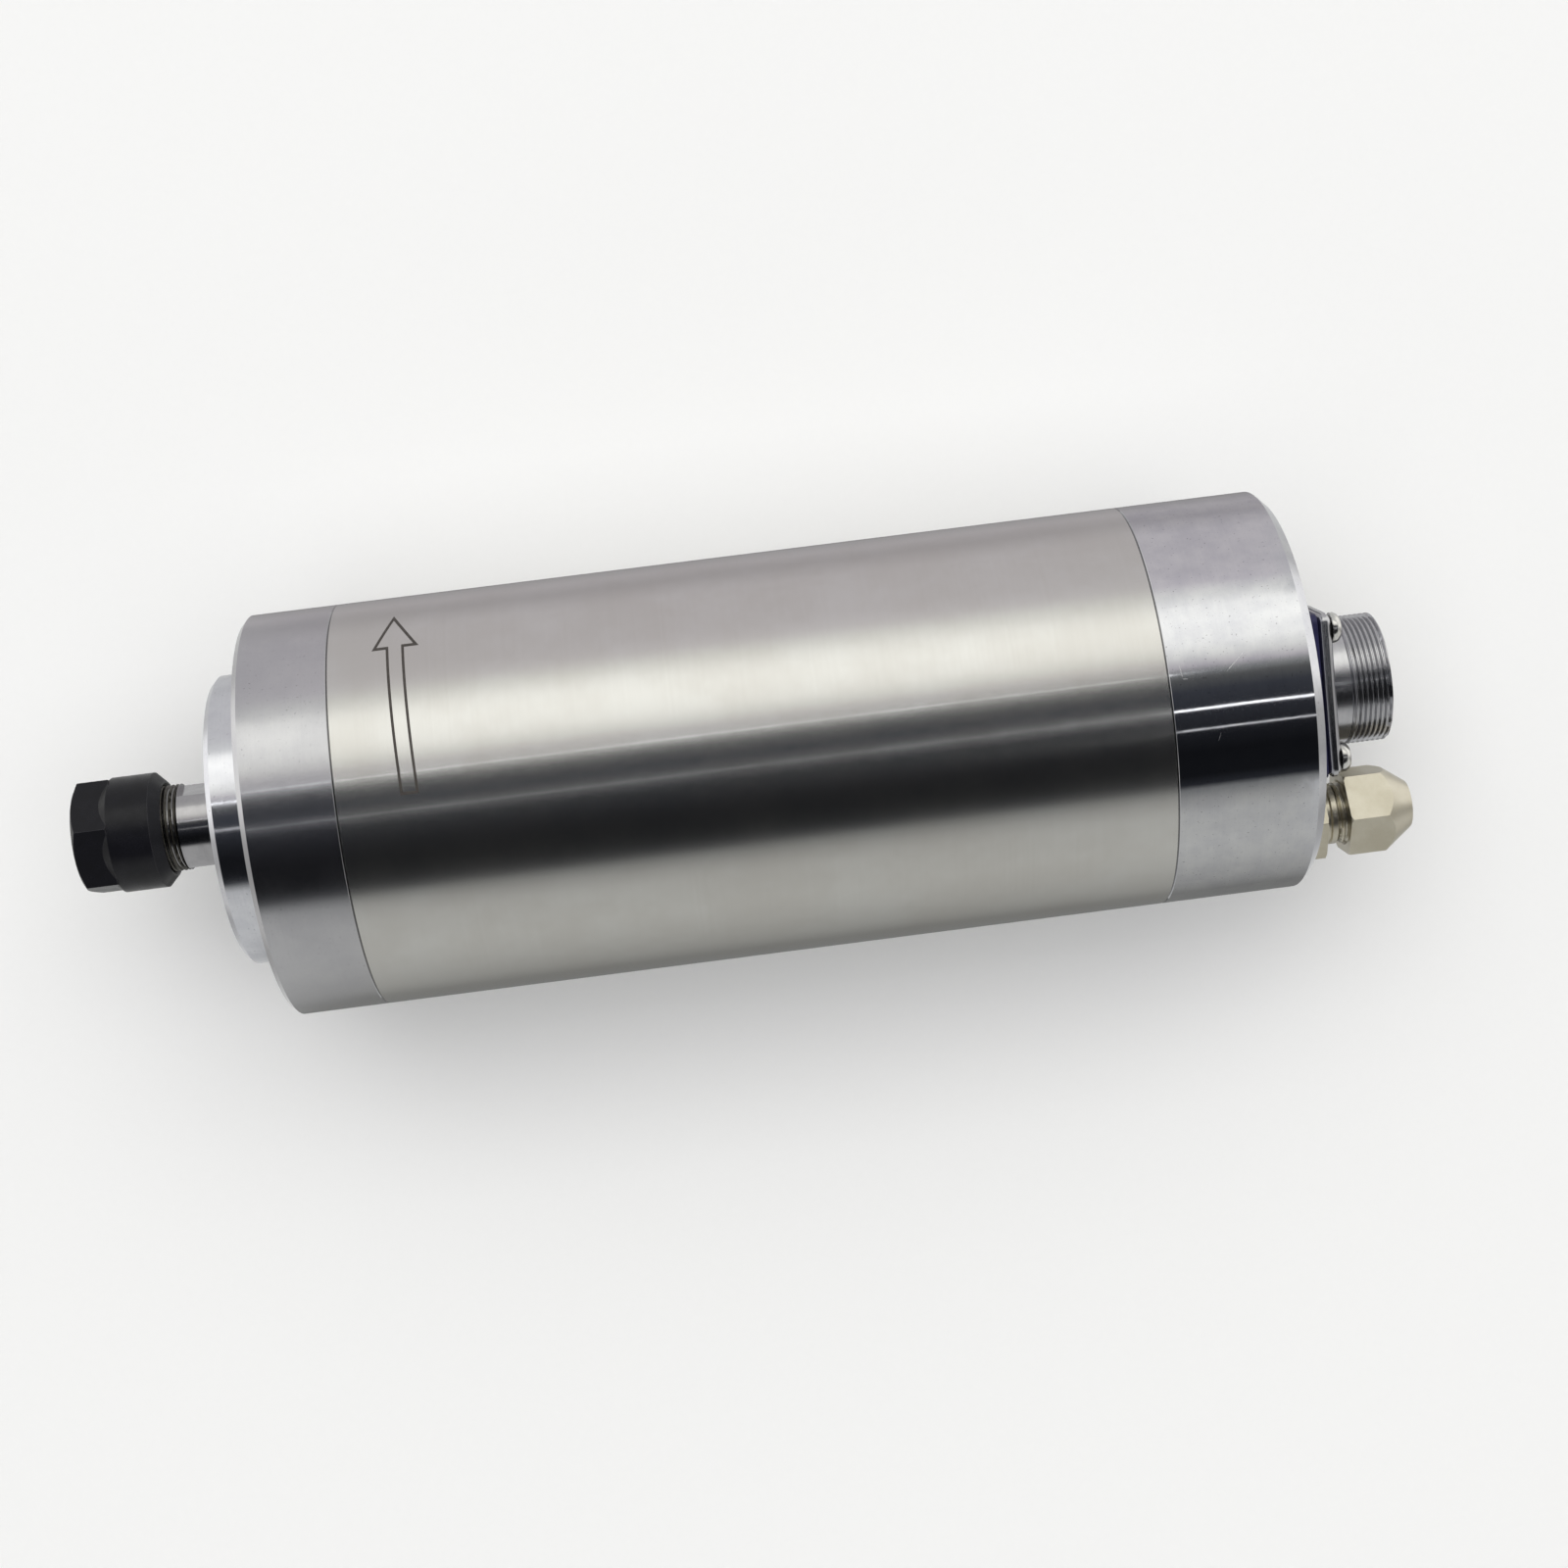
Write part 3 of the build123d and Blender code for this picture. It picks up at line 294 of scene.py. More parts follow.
# metals: two tones and the size of the clouds between them, the roughness range, the spacing and
# depth of the tool marks (drawn coarser than real ones, which are too fine to show), then what
# only some have
metals = {
    # ground and brushed stainless tube: soft bands, and a thin film of oil that mirrors sharply
    "brushed_stainless": {
        "light": "#dadad8", "dark": "#cfcdc9", "cloudMm": 14, "roughness": (0.2, 0.25),
        "turned": True, "grainMm": 0.45, "grainDepthMm": 0.0012, "anisotropic": 0.5,
        "oilFilm": 0.03, "joints": tubeEnds},
    # turned and polished aluminium cap: a cool mirror with hazy handling marks and scratches
    "polished_aluminium": {
        "light": "#e0e1e4", "dark": "#cbccd3", "cloudMm": 4.5, "roughness": (0.035, 0.075),
        "turned": True, "grainMm": 0.6, "grainDepthMm": 0.0003, "anisotropic": 0.3,
        "joints": tubeEnds[1:], "waveMm": 3.5, "waveDepthMm": 0.005, "speckMm": 0.35,
        "scratches": [
            {"at": (151.2, 4.8), "turn": 40.8, "length": 4.6, "width": 0.14},
            {"at": (142.8, 4.3), "turn": -84, "length": 2.4, "width": 0.1},
            {"at": (143.3, 3.1), "turn": -7, "length": 1.0, "width": 0.12},
            {"at": (147.5, -6.2), "turn": 68, "length": 1.8, "width": 0.07},
            {"at": (155.6, 9.4), "turn": -32, "length": 2.6, "width": 0.06}]},
    # fine-turned steel cap: satin under an oil film, a little darker than the tube
    "turned_steel": {
        "light": "#c9c9cc", "dark": "#bcbcc1", "cloudMm": 8, "roughness": (0.17, 0.23),
        "turned": True, "grainMm": 0.5, "grainDepthMm": 0.0015, "anisotropic": 0.5,
        "oilFilm": 0.04, "waveMm": 7, "waveDepthMm": 0.006, "speckMm": 0.3,
        "joints": tubeEnds[:1]},
    # turned aluminium boss: bright and cool, with crisp edges
    "turned_aluminium": {
        "light": "#e6e7ec", "dark": "#d9dae1", "cloudMm": 4, "roughness": (0.1, 0.16),
        "turned": True, "grainMm": 0.4, "grainDepthMm": 0.001, "anisotropic": 0.4,
        "waveMm": 4, "waveDepthMm": 0.004, "speckMm": 0.3},
    # ground spindle steel: a dull mirror, faintly stained
    "ground_steel": {
        "light": "#bbbabc", "dark": "#a9a8ab", "cloudMm": 3, "roughness": (0.12, 0.2),
        "turned": True, "grainMm": 0.3, "grainDepthMm": 0.0008, "anisotropic": 0.4,
        "waveMm": 2.5, "waveDepthMm": 0.003},
    # the same steel where oil and dust fill the thread: brownish grey, with little shine
    "oiled_thread": {
        "light": "#696660", "dark": "#45433d", "cloudMm": 0.8, "roughness": (0.3, 0.42),
        "grainMm": 0.2, "grainDepthMm": 0.004},
    # nickel plate over machined brass: warm grey, with a soft sheen and pale rubbed edges
    "nickel_brass": {
        "light": "#d5d0c1", "dark": "#c6bfac", "cloudMm": 5, "roughness": (0.28, 0.36),
        "turned": True, "grainMm": 0.3, "grainDepthMm": 0.003,
        "edgeMm": 0.12, "edgeColour": "#e2dfd4"},
    # nickel chrome over die-cast zinc: neutral and bright, dulled by handling
    "connector_chrome": {
        "light": "#d2d2d5", "dark": "#bebec2", "cloudMm": 4, "roughness": (0.17, 0.26),
        "turned": True, "grainMm": 0.4, "grainDepthMm": 0.001},
    # bright zinc plate on small screws: sharp glints and rubbed edges
    "plated_screw_steel": {
        "light": "#e4e3df", "dark": "#cfceca", "cloudMm": 1, "roughness": (0.12, 0.2),
        "grainMm": 0.3, "grainDepthMm": 0.001, "edgeMm": 0.08, "edgeColour": "#f2f2f0"},
    # plated brass contact pins: pale gold and shiny
    "pin_brass": {
        "light": "#e0d6b4", "dark": "#cdbf95", "cloudMm": 1, "roughness": (0.15, 0.22),
        "grainMm": 0.2, "grainDepthMm": 0.001},
    # hardened and polished bearing steel: an even mirror
    "bearing_steel": {
        "light": "#d6d6d8", "dark": "#c9c9cc", "cloudMm": 3, "roughness": (0.08, 0.14),
        "turned": True, "grainMm": 0.3, "grainDepthMm": 0.0005},
    # stacked sheets of electrical steel: dull grey with fine rings
    "lamination_steel": {
        "light": "#8c8c8f", "dark": "#6f6f73", "cloudMm": 4, "roughness": (0.4, 0.55),
        "turned": True, "grainMm": 0.5, "grainDepthMm": 0.02},
    # cast aluminium: pale and slightly rough
    "end_ring_aluminium": {
        "light": "#c9c9cd", "dark": "#b4b4ba", "cloudMm": 2, "roughness": (0.4, 0.55),
        "grainMm": 0.5, "grainDepthMm": 0.02},
    # turned and milled aluminium: satin with visible tool marks
    "sleeve_aluminium": {
        "light": "#cfd0d4", "dark": "#bcbdc2", "cloudMm": 6, "roughness": (0.25, 0.35),
        "turned": True, "grainMm": 0.4, "grainDepthMm": 0.004},
    # wound enamelled wire: coppery ridges about as wide as a wire
    "enamelled_copper": {
        "light": "#b8693a", "dark": "#8a4526", "cloudMm": 1, "roughness": (0.3, 0.4),
        "turned": True, "grainMm": 0.5, "grainDepthMm": 0.12},
}
# oxide, rubber, plastic and fibre, which don't shine as a metal does
coatings = {
    # black oxide on the steel nut: near black with a blue cast, rubbed bare on the edges
    "black_oxide_steel": {
        "light": "#16161b", "dark": "#0c0c10", "cloudMm": 2.5, "roughness": (0.24, 0.36),
        "grainMm": 0.25, "grainDepthMm": 0.003, "edgeMm": 0.14, "edgeColour": "#4a494d",
        "ior": 1.34},
    # black oxide on socket screws: greyer, with a stronger sheen
    "black_screw_steel": {
        "light": "#222226", "dark": "#17171a", "cloudMm": 1, "roughness": (0.3, 0.4),
        "grainMm": 0.2, "grainDepthMm": 0.002, "edgeMm": 0.1, "edgeColour": "#5b5a5e",
        "ior": 1.7},
    # moulded rubber: blue-black, matt and dusty
    "black_rubber": {
        "light": "#24244e", "dark": "#181836", "cloudMm": 2, "roughness": (0.45, 0.6),
        "grainMm": 0.15, "grainDepthMm": 0.01, "edgeMm": 0.2},
    # moulded insulator: neutral black with a low sheen
    "black_insulator": {
        "light": "#1f1f20", "dark": "#151516", "cloudMm": 2, "roughness": (0.4, 0.5),
        "grainMm": 0.1, "grainDepthMm": 0.004, "edgeMm": 0.1},
    # cloth-filled phenolic resin: amber brown and matt
    "cage_phenolic": {
        "light": "#9a6a38", "dark": "#7a4f26", "cloudMm": 1, "roughness": (0.5, 0.6),
        "grainMm": 0.2, "grainDepthMm": 0.02},
    # silicone sleeving: brick red and soft
    "lead_sleeve": {
        "light": "#8f2a1c", "dark": "#74200f", "cloudMm": 2, "roughness": (0.45, 0.55),
        "grainMm": 0.3, "grainDepthMm": 0.01},
    # vulcanised fibre washers: dry, dusty grey-brown
    "washer_fibre": {
        "light": "#8f8878", "dark": "#787164", "cloudMm": 1, "roughness": (0.6, 0.75),
        "grainMm": 0.15, "grainDepthMm": 0.02},
    # oxide left by the marking laser: matt brown-black
    "laser_oxide": {
        "light": "#45403c", "dark": "#2f2b28", "cloudMm": 0.5, "roughness": (0.45, 0.6),
        "grainMm": 0.1, "grainDepthMm": 0.001},
}
# marks that several finishes share, and the painted shade, with dirt, in the joints
wearAndShade = {
    "cloudFrom": 0.3, "cloudTo": 0.7, "cloudDetail": 4.0, "grainDetail": 3.0, "fine": 0.6,
    "grainShare": 0.4,  # how far the tool marks, and not the clouds, set the tone
    "rubbedFrom": 0.99, "rubbedTo": 0.86, "rubbedMost": 0.8,
    "dirt": "#77757a", "dirtFrom": 0.7, "dirtTo": 0.78, "dirtMost": 0.55,
    # painted shade of the joint's gap, with dirt: its colour, how wide the band is and how dark
    "jointShadeAndDirt": "#3a3936", "jointShadeHalfMm": (0.2, 0.08), "jointShadeMost": 0.5,
    "bare": "#f4f4f6", "bareRoughness": 0.5,
}


# distance along the axis and from it: marks run round the piece, and in rings on its faces
def turnedPlace(tree, place):
    split = addNode(tree, "ShaderNodeSeparateXYZ", {}, {"Vector": place})
    fromAxis = addNode(tree, "ShaderNodeCombineXYZ", {}, {
        "Y": split.outputs["Y"], "Z": split.outputs["Z"]})
    radius = addNode(tree, "ShaderNodeVectorMath", {"operation": "LENGTH"}, {
        0: fromAxis.outputs[0]})
    return addNode(tree, "ShaderNodeCombineXYZ", {}, {
        "X": split.outputs["X"], "Y": radius.outputs["Value"]}).outputs[0]


# the rubbed tone on sharp edges, found where the rounded normal leaves the true one
def rubEdges(tree, colour, rounded, edgeColour):
    sharp = addNode(tree, "ShaderNodeNewGeometry")
    facing = addNode(tree, "ShaderNodeVectorMath", {"operation": "DOT_PRODUCT"}, {
        0: rounded, 1: sharp.outputs["Normal"]})
    rubbed = addNode(tree, "ShaderNodeMapRange", {"interpolation_type": "SMOOTHSTEP"}, {
        "Value": facing.outputs["Value"], "From Min": wearAndShade["rubbedFrom"],
        "From Max": wearAndShade["rubbedTo"], "To Max": wearAndShade["rubbedMost"]})
    return addNode(tree, "ShaderNodeMix", {"data_type": "RGBA"}, {
        0: rubbed.outputs[0], 6: colour, 7: linear(edgeColour)}).outputs[2]


# small pits and dirt
def addSpecks(tree, place, colour, speckMm):
    specks = addNode(tree, "ShaderNodeTexNoise", {}, {
        "Vector": place, "Scale": 1 / (speckMm * mm), "Detail": 1.0})
    pitted = addNode(tree, "ShaderNodeMapRange", {}, {
        "Value": specks.outputs[0], "From Min": wearAndShade["dirtFrom"], "From Max": wearAndShade["dirtTo"],
        "To Max": wearAndShade["dirtMost"]})
    return addNode(tree, "ShaderNodeMix", {"data_type": "RGBA"}, {
        0: pitted.outputs[0], 6: colour, 7: linear(wearAndShade["dirt"])}).outputs[2]


# painted shade, with dirt, in a joint between two turned pieces: a darker band along it
def addJointShadeAndDirt(tree, place, colour, joint):
    split = addNode(tree, "ShaderNodeSeparateXYZ", {}, {"Vector": place})
    offset = addNode(tree, "ShaderNodeMath", {"operation": "SUBTRACT"}, {
        0: split.outputs["X"], 1: joint * mm})
    away = addNode(tree, "ShaderNodeMath", {"operation": "ABSOLUTE"}, {0: offset.outputs[0]})
    jointShadeAmount = addNode(tree, "ShaderNodeMapRange", {"interpolation_type": "SMOOTHSTEP"}, {
        "Value": away.outputs[0], "From Min": wearAndShade["jointShadeHalfMm"][0] * mm,
        "From Max": wearAndShade["jointShadeHalfMm"][1] * mm, "To Max": wearAndShade["jointShadeMost"]})
    return addNode(tree, "ShaderNodeMix", {"data_type": "RGBA"}, {
        0: jointShadeAmount.outputs[0], 6: colour, 7: linear(wearAndShade["jointShadeAndDirt"])}).outputs[2]


# soft clouds with the fine tool marks over them, and the tool marks alone
def addPatterns(tree, place, finish):
    grainPlace = turnedPlace(tree, place) if finish.get("turned") else place
    clouds = addNode(tree, "ShaderNodeTexNoise", {}, {
        "Vector": place, "Scale": 1 / (finish["cloudMm"] * mm), "Detail": wearAndShade["cloudDetail"],
        "Roughness": wearAndShade["fine"]})
    grain = addNode(tree, "ShaderNodeTexNoise", {}, {
        "Vector": grainPlace, "Scale": 1 / (finish["grainMm"] * mm), "Detail": wearAndShade["grainDetail"],
        "Roughness": wearAndShade["fine"]})
    cloudMask = addNode(tree, "ShaderNodeMapRange", {"interpolation_type": "SMOOTHSTEP"}, {
        "Value": clouds.outputs[0], "From Min": wearAndShade["cloudFrom"], "From Max": wearAndShade["cloudTo"]})
    both = addNode(tree, "ShaderNodeMix", {"data_type": "FLOAT"}, {
        0: wearAndShade["grainShare"], 2: cloudMask.outputs[0], 3: grain.outputs[0]})
    return both.outputs[0], grain.outputs[0]


# a straight mark on the upper side, drawn along its own length
def scratchMask(tree, place, scratch):
    local = addNode(tree, "ShaderNodeMapping", {"vector_type": "TEXTURE"}, {
        "Vector": place, "Location": (scratch["at"][0] * mm, scratch["at"][1] * mm, 0),
        "Rotation": (0, 0, math.radians(scratch["turn"]))})
    split = addNode(tree, "ShaderNodeSeparateXYZ", {}, {"Vector": local.outputs[0]})
    mask = addNode(tree, "ShaderNodeMath", {"operation": "GREATER_THAN"}, {
        0: split.outputs["Z"], 1: 0.0}).outputs[0]
    for axis, size in (("X", scratch["length"]), ("Y", scratch["width"])):
        away = addNode(tree, "ShaderNodeMath", {"operation": "ABSOLUTE"}, {0: split.outputs[axis]})
        inside = addNode(tree, "ShaderNodeMapRange", {"interpolation_type": "SMOOTHSTEP"}, {
            "Value": away.outputs[0], "From Min": size / 2 * mm, "From Max": size / 5 * mm})
        mask = addNode(tree, "ShaderNodeMath", {"operation": "MULTIPLY"}, {
            0: mask, 1: inside.outputs[0]}).outputs[0]
    return mask


# a scratch lays the metal bare, which is brighter and rougher
def addScratch(tree, place, colour, roughness, scratch):
    mask = scratchMask(tree, place, scratch)
    bare = addNode(tree, "ShaderNodeMix", {"data_type": "RGBA"}, {
        0: mask, 6: colour, 7: linear(wearAndShade["bare"])})
    torn = addNode(tree, "ShaderNodeMix", {"data_type": "FLOAT"}, {
        0: mask, 2: roughness, 3: wearAndShade["bareRoughness"]})
    return bare.outputs[2], torn.outputs[0]


# the edges' rounding, the polishing waves and the tool marks, one over the other
def layNormals(tree, place, rounded, grain, finish):
    normal = rounded
    if finish.get("waveMm"):
        # polishing leaves the surface faintly uneven, which clouds the reflections
        waves = addNode(tree, "ShaderNodeTexNoise", {}, {
            "Vector": place, "Scale": 1 / (finish["waveMm"] * mm), "Detail": 2.0})
        waved = addNode(tree, "ShaderNodeBump", {}, {
            "Height": waves.outputs[0], "Strength": 1.0, "Distance": finish["waveDepthMm"] * mm})
        if normal:
            tree.links.new(normal, waved.inputs["Normal"])
        normal = waved.outputs[0]
    bump = addNode(tree, "ShaderNodeBump", {}, {
        "Height": grain, "Strength": 1.0, "Distance": finish["grainDepthMm"] * mm})
    if normal:
        tree.links.new(normal, bump.inputs["Normal"])
    return bump.outputs[0]


def makeFinish(name, finish, metallic):
    material = bpy.data.materials.new(name + "_finish")
    material.use_nodes = True
    tree = material.node_tree
    shader = tree.nodes["Principled BSDF"]
    place = addNode(tree, "ShaderNodeTexCoord").outputs["Object"]
    pattern, grain = addPatterns(tree, place, finish)
    colour = addNode(tree, "ShaderNodeMix", {"data_type": "RGBA"}, {
        0: pattern, 6: linear(finish["dark"]), 7: linear(finish["light"])}).outputs[2]
    smooth, rough = finish["roughness"]
    roughness = addNode(tree, "ShaderNodeMapRange", {}, {
        "Value": pattern, "To Min": rough, "To Max": smooth}).outputs[0]
    rounded = None
    if finish.get("edgeMm"):
        rounded = addNode(tree, "ShaderNodeBevel", {"samples": 4}, {
            "Radius": finish["edgeMm"] * mm}).outputs[0]
    if finish.get("edgeColour"):
        colour = rubEdges(tree, colour, rounded, finish["edgeColour"])
    normal = layNormals(tree, place, rounded, grain, finish)
    if finish.get("speckMm"):
        colour = addSpecks(tree, place, colour, finish["speckMm"])
    # painted shade, with dirt, along each joint
    for joint in finish.get("joints", []):
        colour = addJointShadeAndDirt(tree, place, colour, joint)
    for scratch in finish.get("scratches", []):
        colour, roughness = addScratch(tree, place, colour, roughness, scratch)
    tree.links.new(colour, shader.inputs["Base Color"])
    tree.links.new(roughness, shader.inputs["Roughness"])
    tree.links.new(normal, shader.inputs["Normal"])
    shader.inputs["Metallic"].default_value = metallic
    if finish.get("ior"):
        shader.inputs["IOR"].default_value = finish["ior"]
    if finish.get("oilFilm"):
        shader.inputs["Coat Weight"].default_value = 1.0
        shader.inputs["Coat Roughness"].default_value = finish["oilFilm"]
    if finish.get("anisotropic"):
        # the highlight is drawn out across the turning marks
        tangent = addNode(tree, "ShaderNodeTangent", {"direction_type": "RADIAL", "axis": "X"})
        tree.links.new(tangent.outputs[0], shader.inputs["Tangent"])
        shader.inputs["Anisotropic"].default_value = finish["anisotropic"]
        shader.inputs["Anisotropic Rotation"].default_value = 0.25  # a quarter turn
    return material


materials = {name: makeFinish(name, finish, 1.0) for name, finish in metals.items()}
materials.update({name: makeFinish(name, finish, 0.0) for name, finish in coatings.items()})

for part in frame["record"]["subparts"]:
    node = frame["nodes"][part["node"]]
    for slot in node.material_slots:
        slot.material = materials[part["material_slot"]]
print("finishes done")


# helpers for the pieces made by hand
def startPiece():
    if bpy.context.object and bpy.context.object.mode != "OBJECT":
        bpy.ops.object.mode_set(mode="OBJECT")
    bpy.ops.object.select_all(action="DESELECT")


def selectOnly(piece):
    bpy.ops.object.select_all(action="DESELECT")
    piece.select_set(True)
    bpy.context.view_layer.objects.active = piece


# moves the object's place, turn and scale into its mesh
def settle(piece):
    selectOnly(piece)
    bpy.ops.object.transform_apply(location=True, rotation=True, scale=True)


def applyModifiers(piece):
    bpy.context.view_layer.objects.active = piece
    for modifier in list(piece.modifiers):
        bpy.ops.object.modifier_apply(modifier=modifier.name)


def combine(piece, other, operation):
    modifier = piece.modifiers.new("combine", "BOOLEAN")
    modifier.operation = operation
    modifier.solver = "EXACT"
    modifier.object = other
    applyModifiers(piece)
    bpy.data.objects.remove(other)


def joinPieces(target, *others):
    bpy.ops.object.select_all(action="DESELECT")
    for other in others:
        other.select_set(True)
    target.select_set(True)
    bpy.context.view_layer.objects.active = target
    bpy.ops.object.join()
    return target


def copyPiece(piece):
    copy = piece.copy()
    copy.data = piece.data.copy()
    bpy.context.scene.collection.objects.link(copy)
    return copy


def finishPiece(piece, name, body, slotName, nodes=(), smoothAngle=32, finishName=None):
    settle(piece)
    bpy.ops.object.shade_smooth_by_angle(angle=math.radians(smoothAngle))
    piece.name = name
    piece.data.name = name
    piece.data.materials.clear()
    piece.data.materials.append(materials[finishName or slotName])
    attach(piece, body)
    if nodes:
        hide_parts(*nodes)


# a block at its place, turned about the spindle's axis
def addBlock(place, size, turn=0.0):
    startPiece()
    bpy.ops.mesh.primitive_cube_add(size=1, location=[c * mm for c in place])
    block = bpy.context.object
    block.scale = [c * mm for c in size]
    block.rotation_euler = (math.radians(turn), 0, 0)
    return block


# a point is pulled from place to place; the line is left selected in edit mode
def drawLine(points):
    startPiece()
    bpy.ops.mesh.primitive_plane_add(size=mm)
    piece = bpy.context.object
    bpy.ops.object.mode_set(mode="EDIT")
    bpy.ops.mesh.select_all(action="SELECT")
    bpy.ops.mesh.merge(type="CENTER")
    bpy.ops.transform.translate(value=[c * mm for c in points[0]])
    for before, after in zip(points, points[1:]):
        step = [(b - a) * mm for a, b in zip(before, after)]
        bpy.ops.mesh.extrude_vertices_move(TRANSFORM_OT_translate={"value": step})
    bpy.ops.mesh.select_all(action="SELECT")
    return piece


# points of a spun profile that are nearer than this are one
profileWeld = 0.002


# a profile of (x, radius) is spun about the axis
def spinProfile(profile, steps):
    piece = drawLine([(x, 0, radius) for x, radius in profile])
    bpy.ops.mesh.spin(steps=steps, angle=fullTurn, center=(0, 0, 0), axis=(1, 0, 0))
    bpy.ops.mesh.select_all(action="SELECT")
    bpy.ops.mesh.remove_doubles(threshold=profileWeld * mm)
    bpy.ops.mesh.normals_make_consistent(inside=False)
    bpy.ops.object.mode_set(mode="OBJECT")
    return piece


# a thread's ridge: its flat crest and its end as shares of the pitch, how deep its foot is sunk in
# the core, and how many turns and how much bore it gets past its ends
ridge = {
    "crest": (0.42, 0.58), "foot": 0.999, "sunk": 0.08, "steps": 96, "extraTurns": 2,
    "extraBore": 2.0, "weld": 0.0001,
}


# the ridge is screwed along the axis, trimmed square at both ends and bored out to a sleeve
def cutThread(thread):
    pitch, foot = thread["pitch"], thread["root"] - ridge["sunk"]
    start, end = thread["start"], thread["end"]
    crestFrom, crestTo = ridge["crest"]
    first = start - pitch
    piece = drawLine([
        (first, 0, foot), (first + crestFrom * pitch, 0, thread["crest"]),
        (first + crestTo * pitch, 0, thread["crest"]), (first + ridge["foot"] * pitch, 0, foot)])
    bpy.ops.mesh.edge_face_add()
    bpy.ops.mesh.delete(type="ONLY_FACE")
    bpy.ops.object.mode_set(mode="OBJECT")
    screw = piece.modifiers.new("screw", "SCREW")
    screw.axis = "X"
    screw.steps = ridge["steps"]
    screw.render_steps = ridge["steps"]
    screw.screw_offset = pitch * mm
    screw.iterations = math.ceil((end - start) / pitch) + ridge["extraTurns"]
    screw.use_normal_calculate = True
    applyModifiers(piece)
    bpy.ops.object.mode_set(mode="EDIT")
    bpy.ops.mesh.select_all(action="SELECT")
    bpy.ops.mesh.remove_doubles(threshold=ridge["weld"] * mm)
    bpy.ops.mesh.select_all(action="SELECT")
    bpy.ops.mesh.fill_holes(sides=0)
    for place, side in ((start, -1), (end, 1)):
        bpy.ops.mesh.select_all(action="SELECT")
        bpy.ops.mesh.bisect(
            plane_co=(place * mm, 0, 0), plane_no=(side, 0, 0), use_fill=True, clear_outer=True)
    bpy.ops.mesh.select_all(action="SELECT")
    bpy.ops.mesh.normals_make_consistent(inside=False)
    bpy.ops.object.mode_set(mode="OBJECT")
    startPiece()
    bpy.ops.mesh.primitive_cylinder_add(
        vertices=ridge["steps"], radius=thread["bore"] * mm,
        depth=(end - start + ridge["extraBore"]) * mm, location=((end + start) / 2 * mm, 0, 0),
        rotation=(0, math.pi / 2, 0))
    combine(piece, bpy.context.object, "DIFFERENCE")
    return piece


# jacket tube
jacket = {"outer": 32.5, "bore": 29.5, "chamfer": 0.18, "steps": 288}


def makeJacket():
    start, end = tubeEnds
    outer, bore, chamfer = jacket["outer"], jacket["bore"], jacket["chamfer"]
    piece = spinProfile([
        (start, bore), (start, outer - chamfer), (start + chamfer, outer),
        (end - chamfer, outer), (end, outer - chamfer), (end, bore), (start, bore)],
        jacket["steps"])
    finishPiece(piece, "jacketTube", "housing", "brushed_stainless", ["outer_jacket"])


makeJacket()
print("jacket done")


# marked arrow: an outline drawn on the flat above the tube, pressed down onto it
arrow = {
    "tip": (24.8, 28.4),
    "head": ((21.6, 23.0), (28.8, 23.1)),
    "shaftTop": ((23.75, 23.0), (26.55, 23.1)),
    "shaftEnd": ((24.4, 0.6), (27.2, 0.6)),
    "drawnAt": 40.0,
    "line": 0.42,
    "lift": 0.004,
    "height": 0.01,
    "cuts": 22,
}


def makeArrow():
    outline = [arrow["shaftEnd"][0], arrow["shaftEnd"][1], arrow["shaftTop"][1], arrow["head"][1],
               arrow["tip"], arrow["head"][0], arrow["shaftTop"][0]]
    piece = drawLine([(x, y, arrow["drawnAt"]) for x, y in outline])
    bpy.ops.mesh.edge_face_add()
    bpy.ops.object.mode_set(mode="OBJECT")
    faceDown = piece.data.polygons[0].normal.z < 0
    bpy.ops.object.mode_set(mode="EDIT")
    bpy.ops.mesh.select_all(action="SELECT")
    if faceDown:
        bpy.ops.mesh.flip_normals()
    # the inner face goes, and the rim that stays is the drawn line
    bpy.ops.mesh.inset(thickness=arrow["line"] * mm)
    bpy.ops.mesh.delete(type="FACE")
    bpy.ops.mesh.select_all(action="SELECT")
    bpy.ops.mesh.subdivide(number_cuts=arrow["cuts"])
    bpy.ops.object.mode_set(mode="OBJECT")
    press = piece.modifiers.new("press", "SHRINKWRAP")
    press.target = bpy.data.objects["jacketTube"]
    press.wrap_method = "PROJECT"
    press.use_project_z = True
    press.use_negative_direction = True
    press.use_positive_direction = False
    press.offset = arrow["lift"] * mm
    thick = piece.modifiers.new("thick", "SOLIDIFY")
    thick.thickness = arrow["height"] * mm
    thick.offset = 1.0
    applyModifiers(piece)
    finishPiece(piece, "rotationArrow", "housing", "brushed_stainless", finishName="laser_oxide")


makeArrow()
print("arrow done")


# spindle shaft with the collet's socket, the nut's thread and the spanner flats
shaft = {
    "front": -26.2, "socket": 5.744, "socketEnd": (-11.9, 3.735),
    "well": (3.5, 20.0, 22.0),  # radius, end of the bore, tip of its cone
    "root": 6.58, "crest": 7.0, "pitch": 0.75, "lead": (0.3, 0.1), "threadEnd": -14.9,
    "runOut": (0.1, 0.25), "threadWall": 0.4,
    "neck": 7.0, "collar": (-4.7, -1.5, 9.0), "seat": (7.5, 28.0), "core": 7.0,
    "rearSeat": (127.0, 137.0, 5.0), "rearChamfer": 0.5, "steps": 128,
    "flats": 12.0, "flatX": (-14.6, -5.6), "flatTurn": 14.0, "cutter": (28.0, 4.0),
}


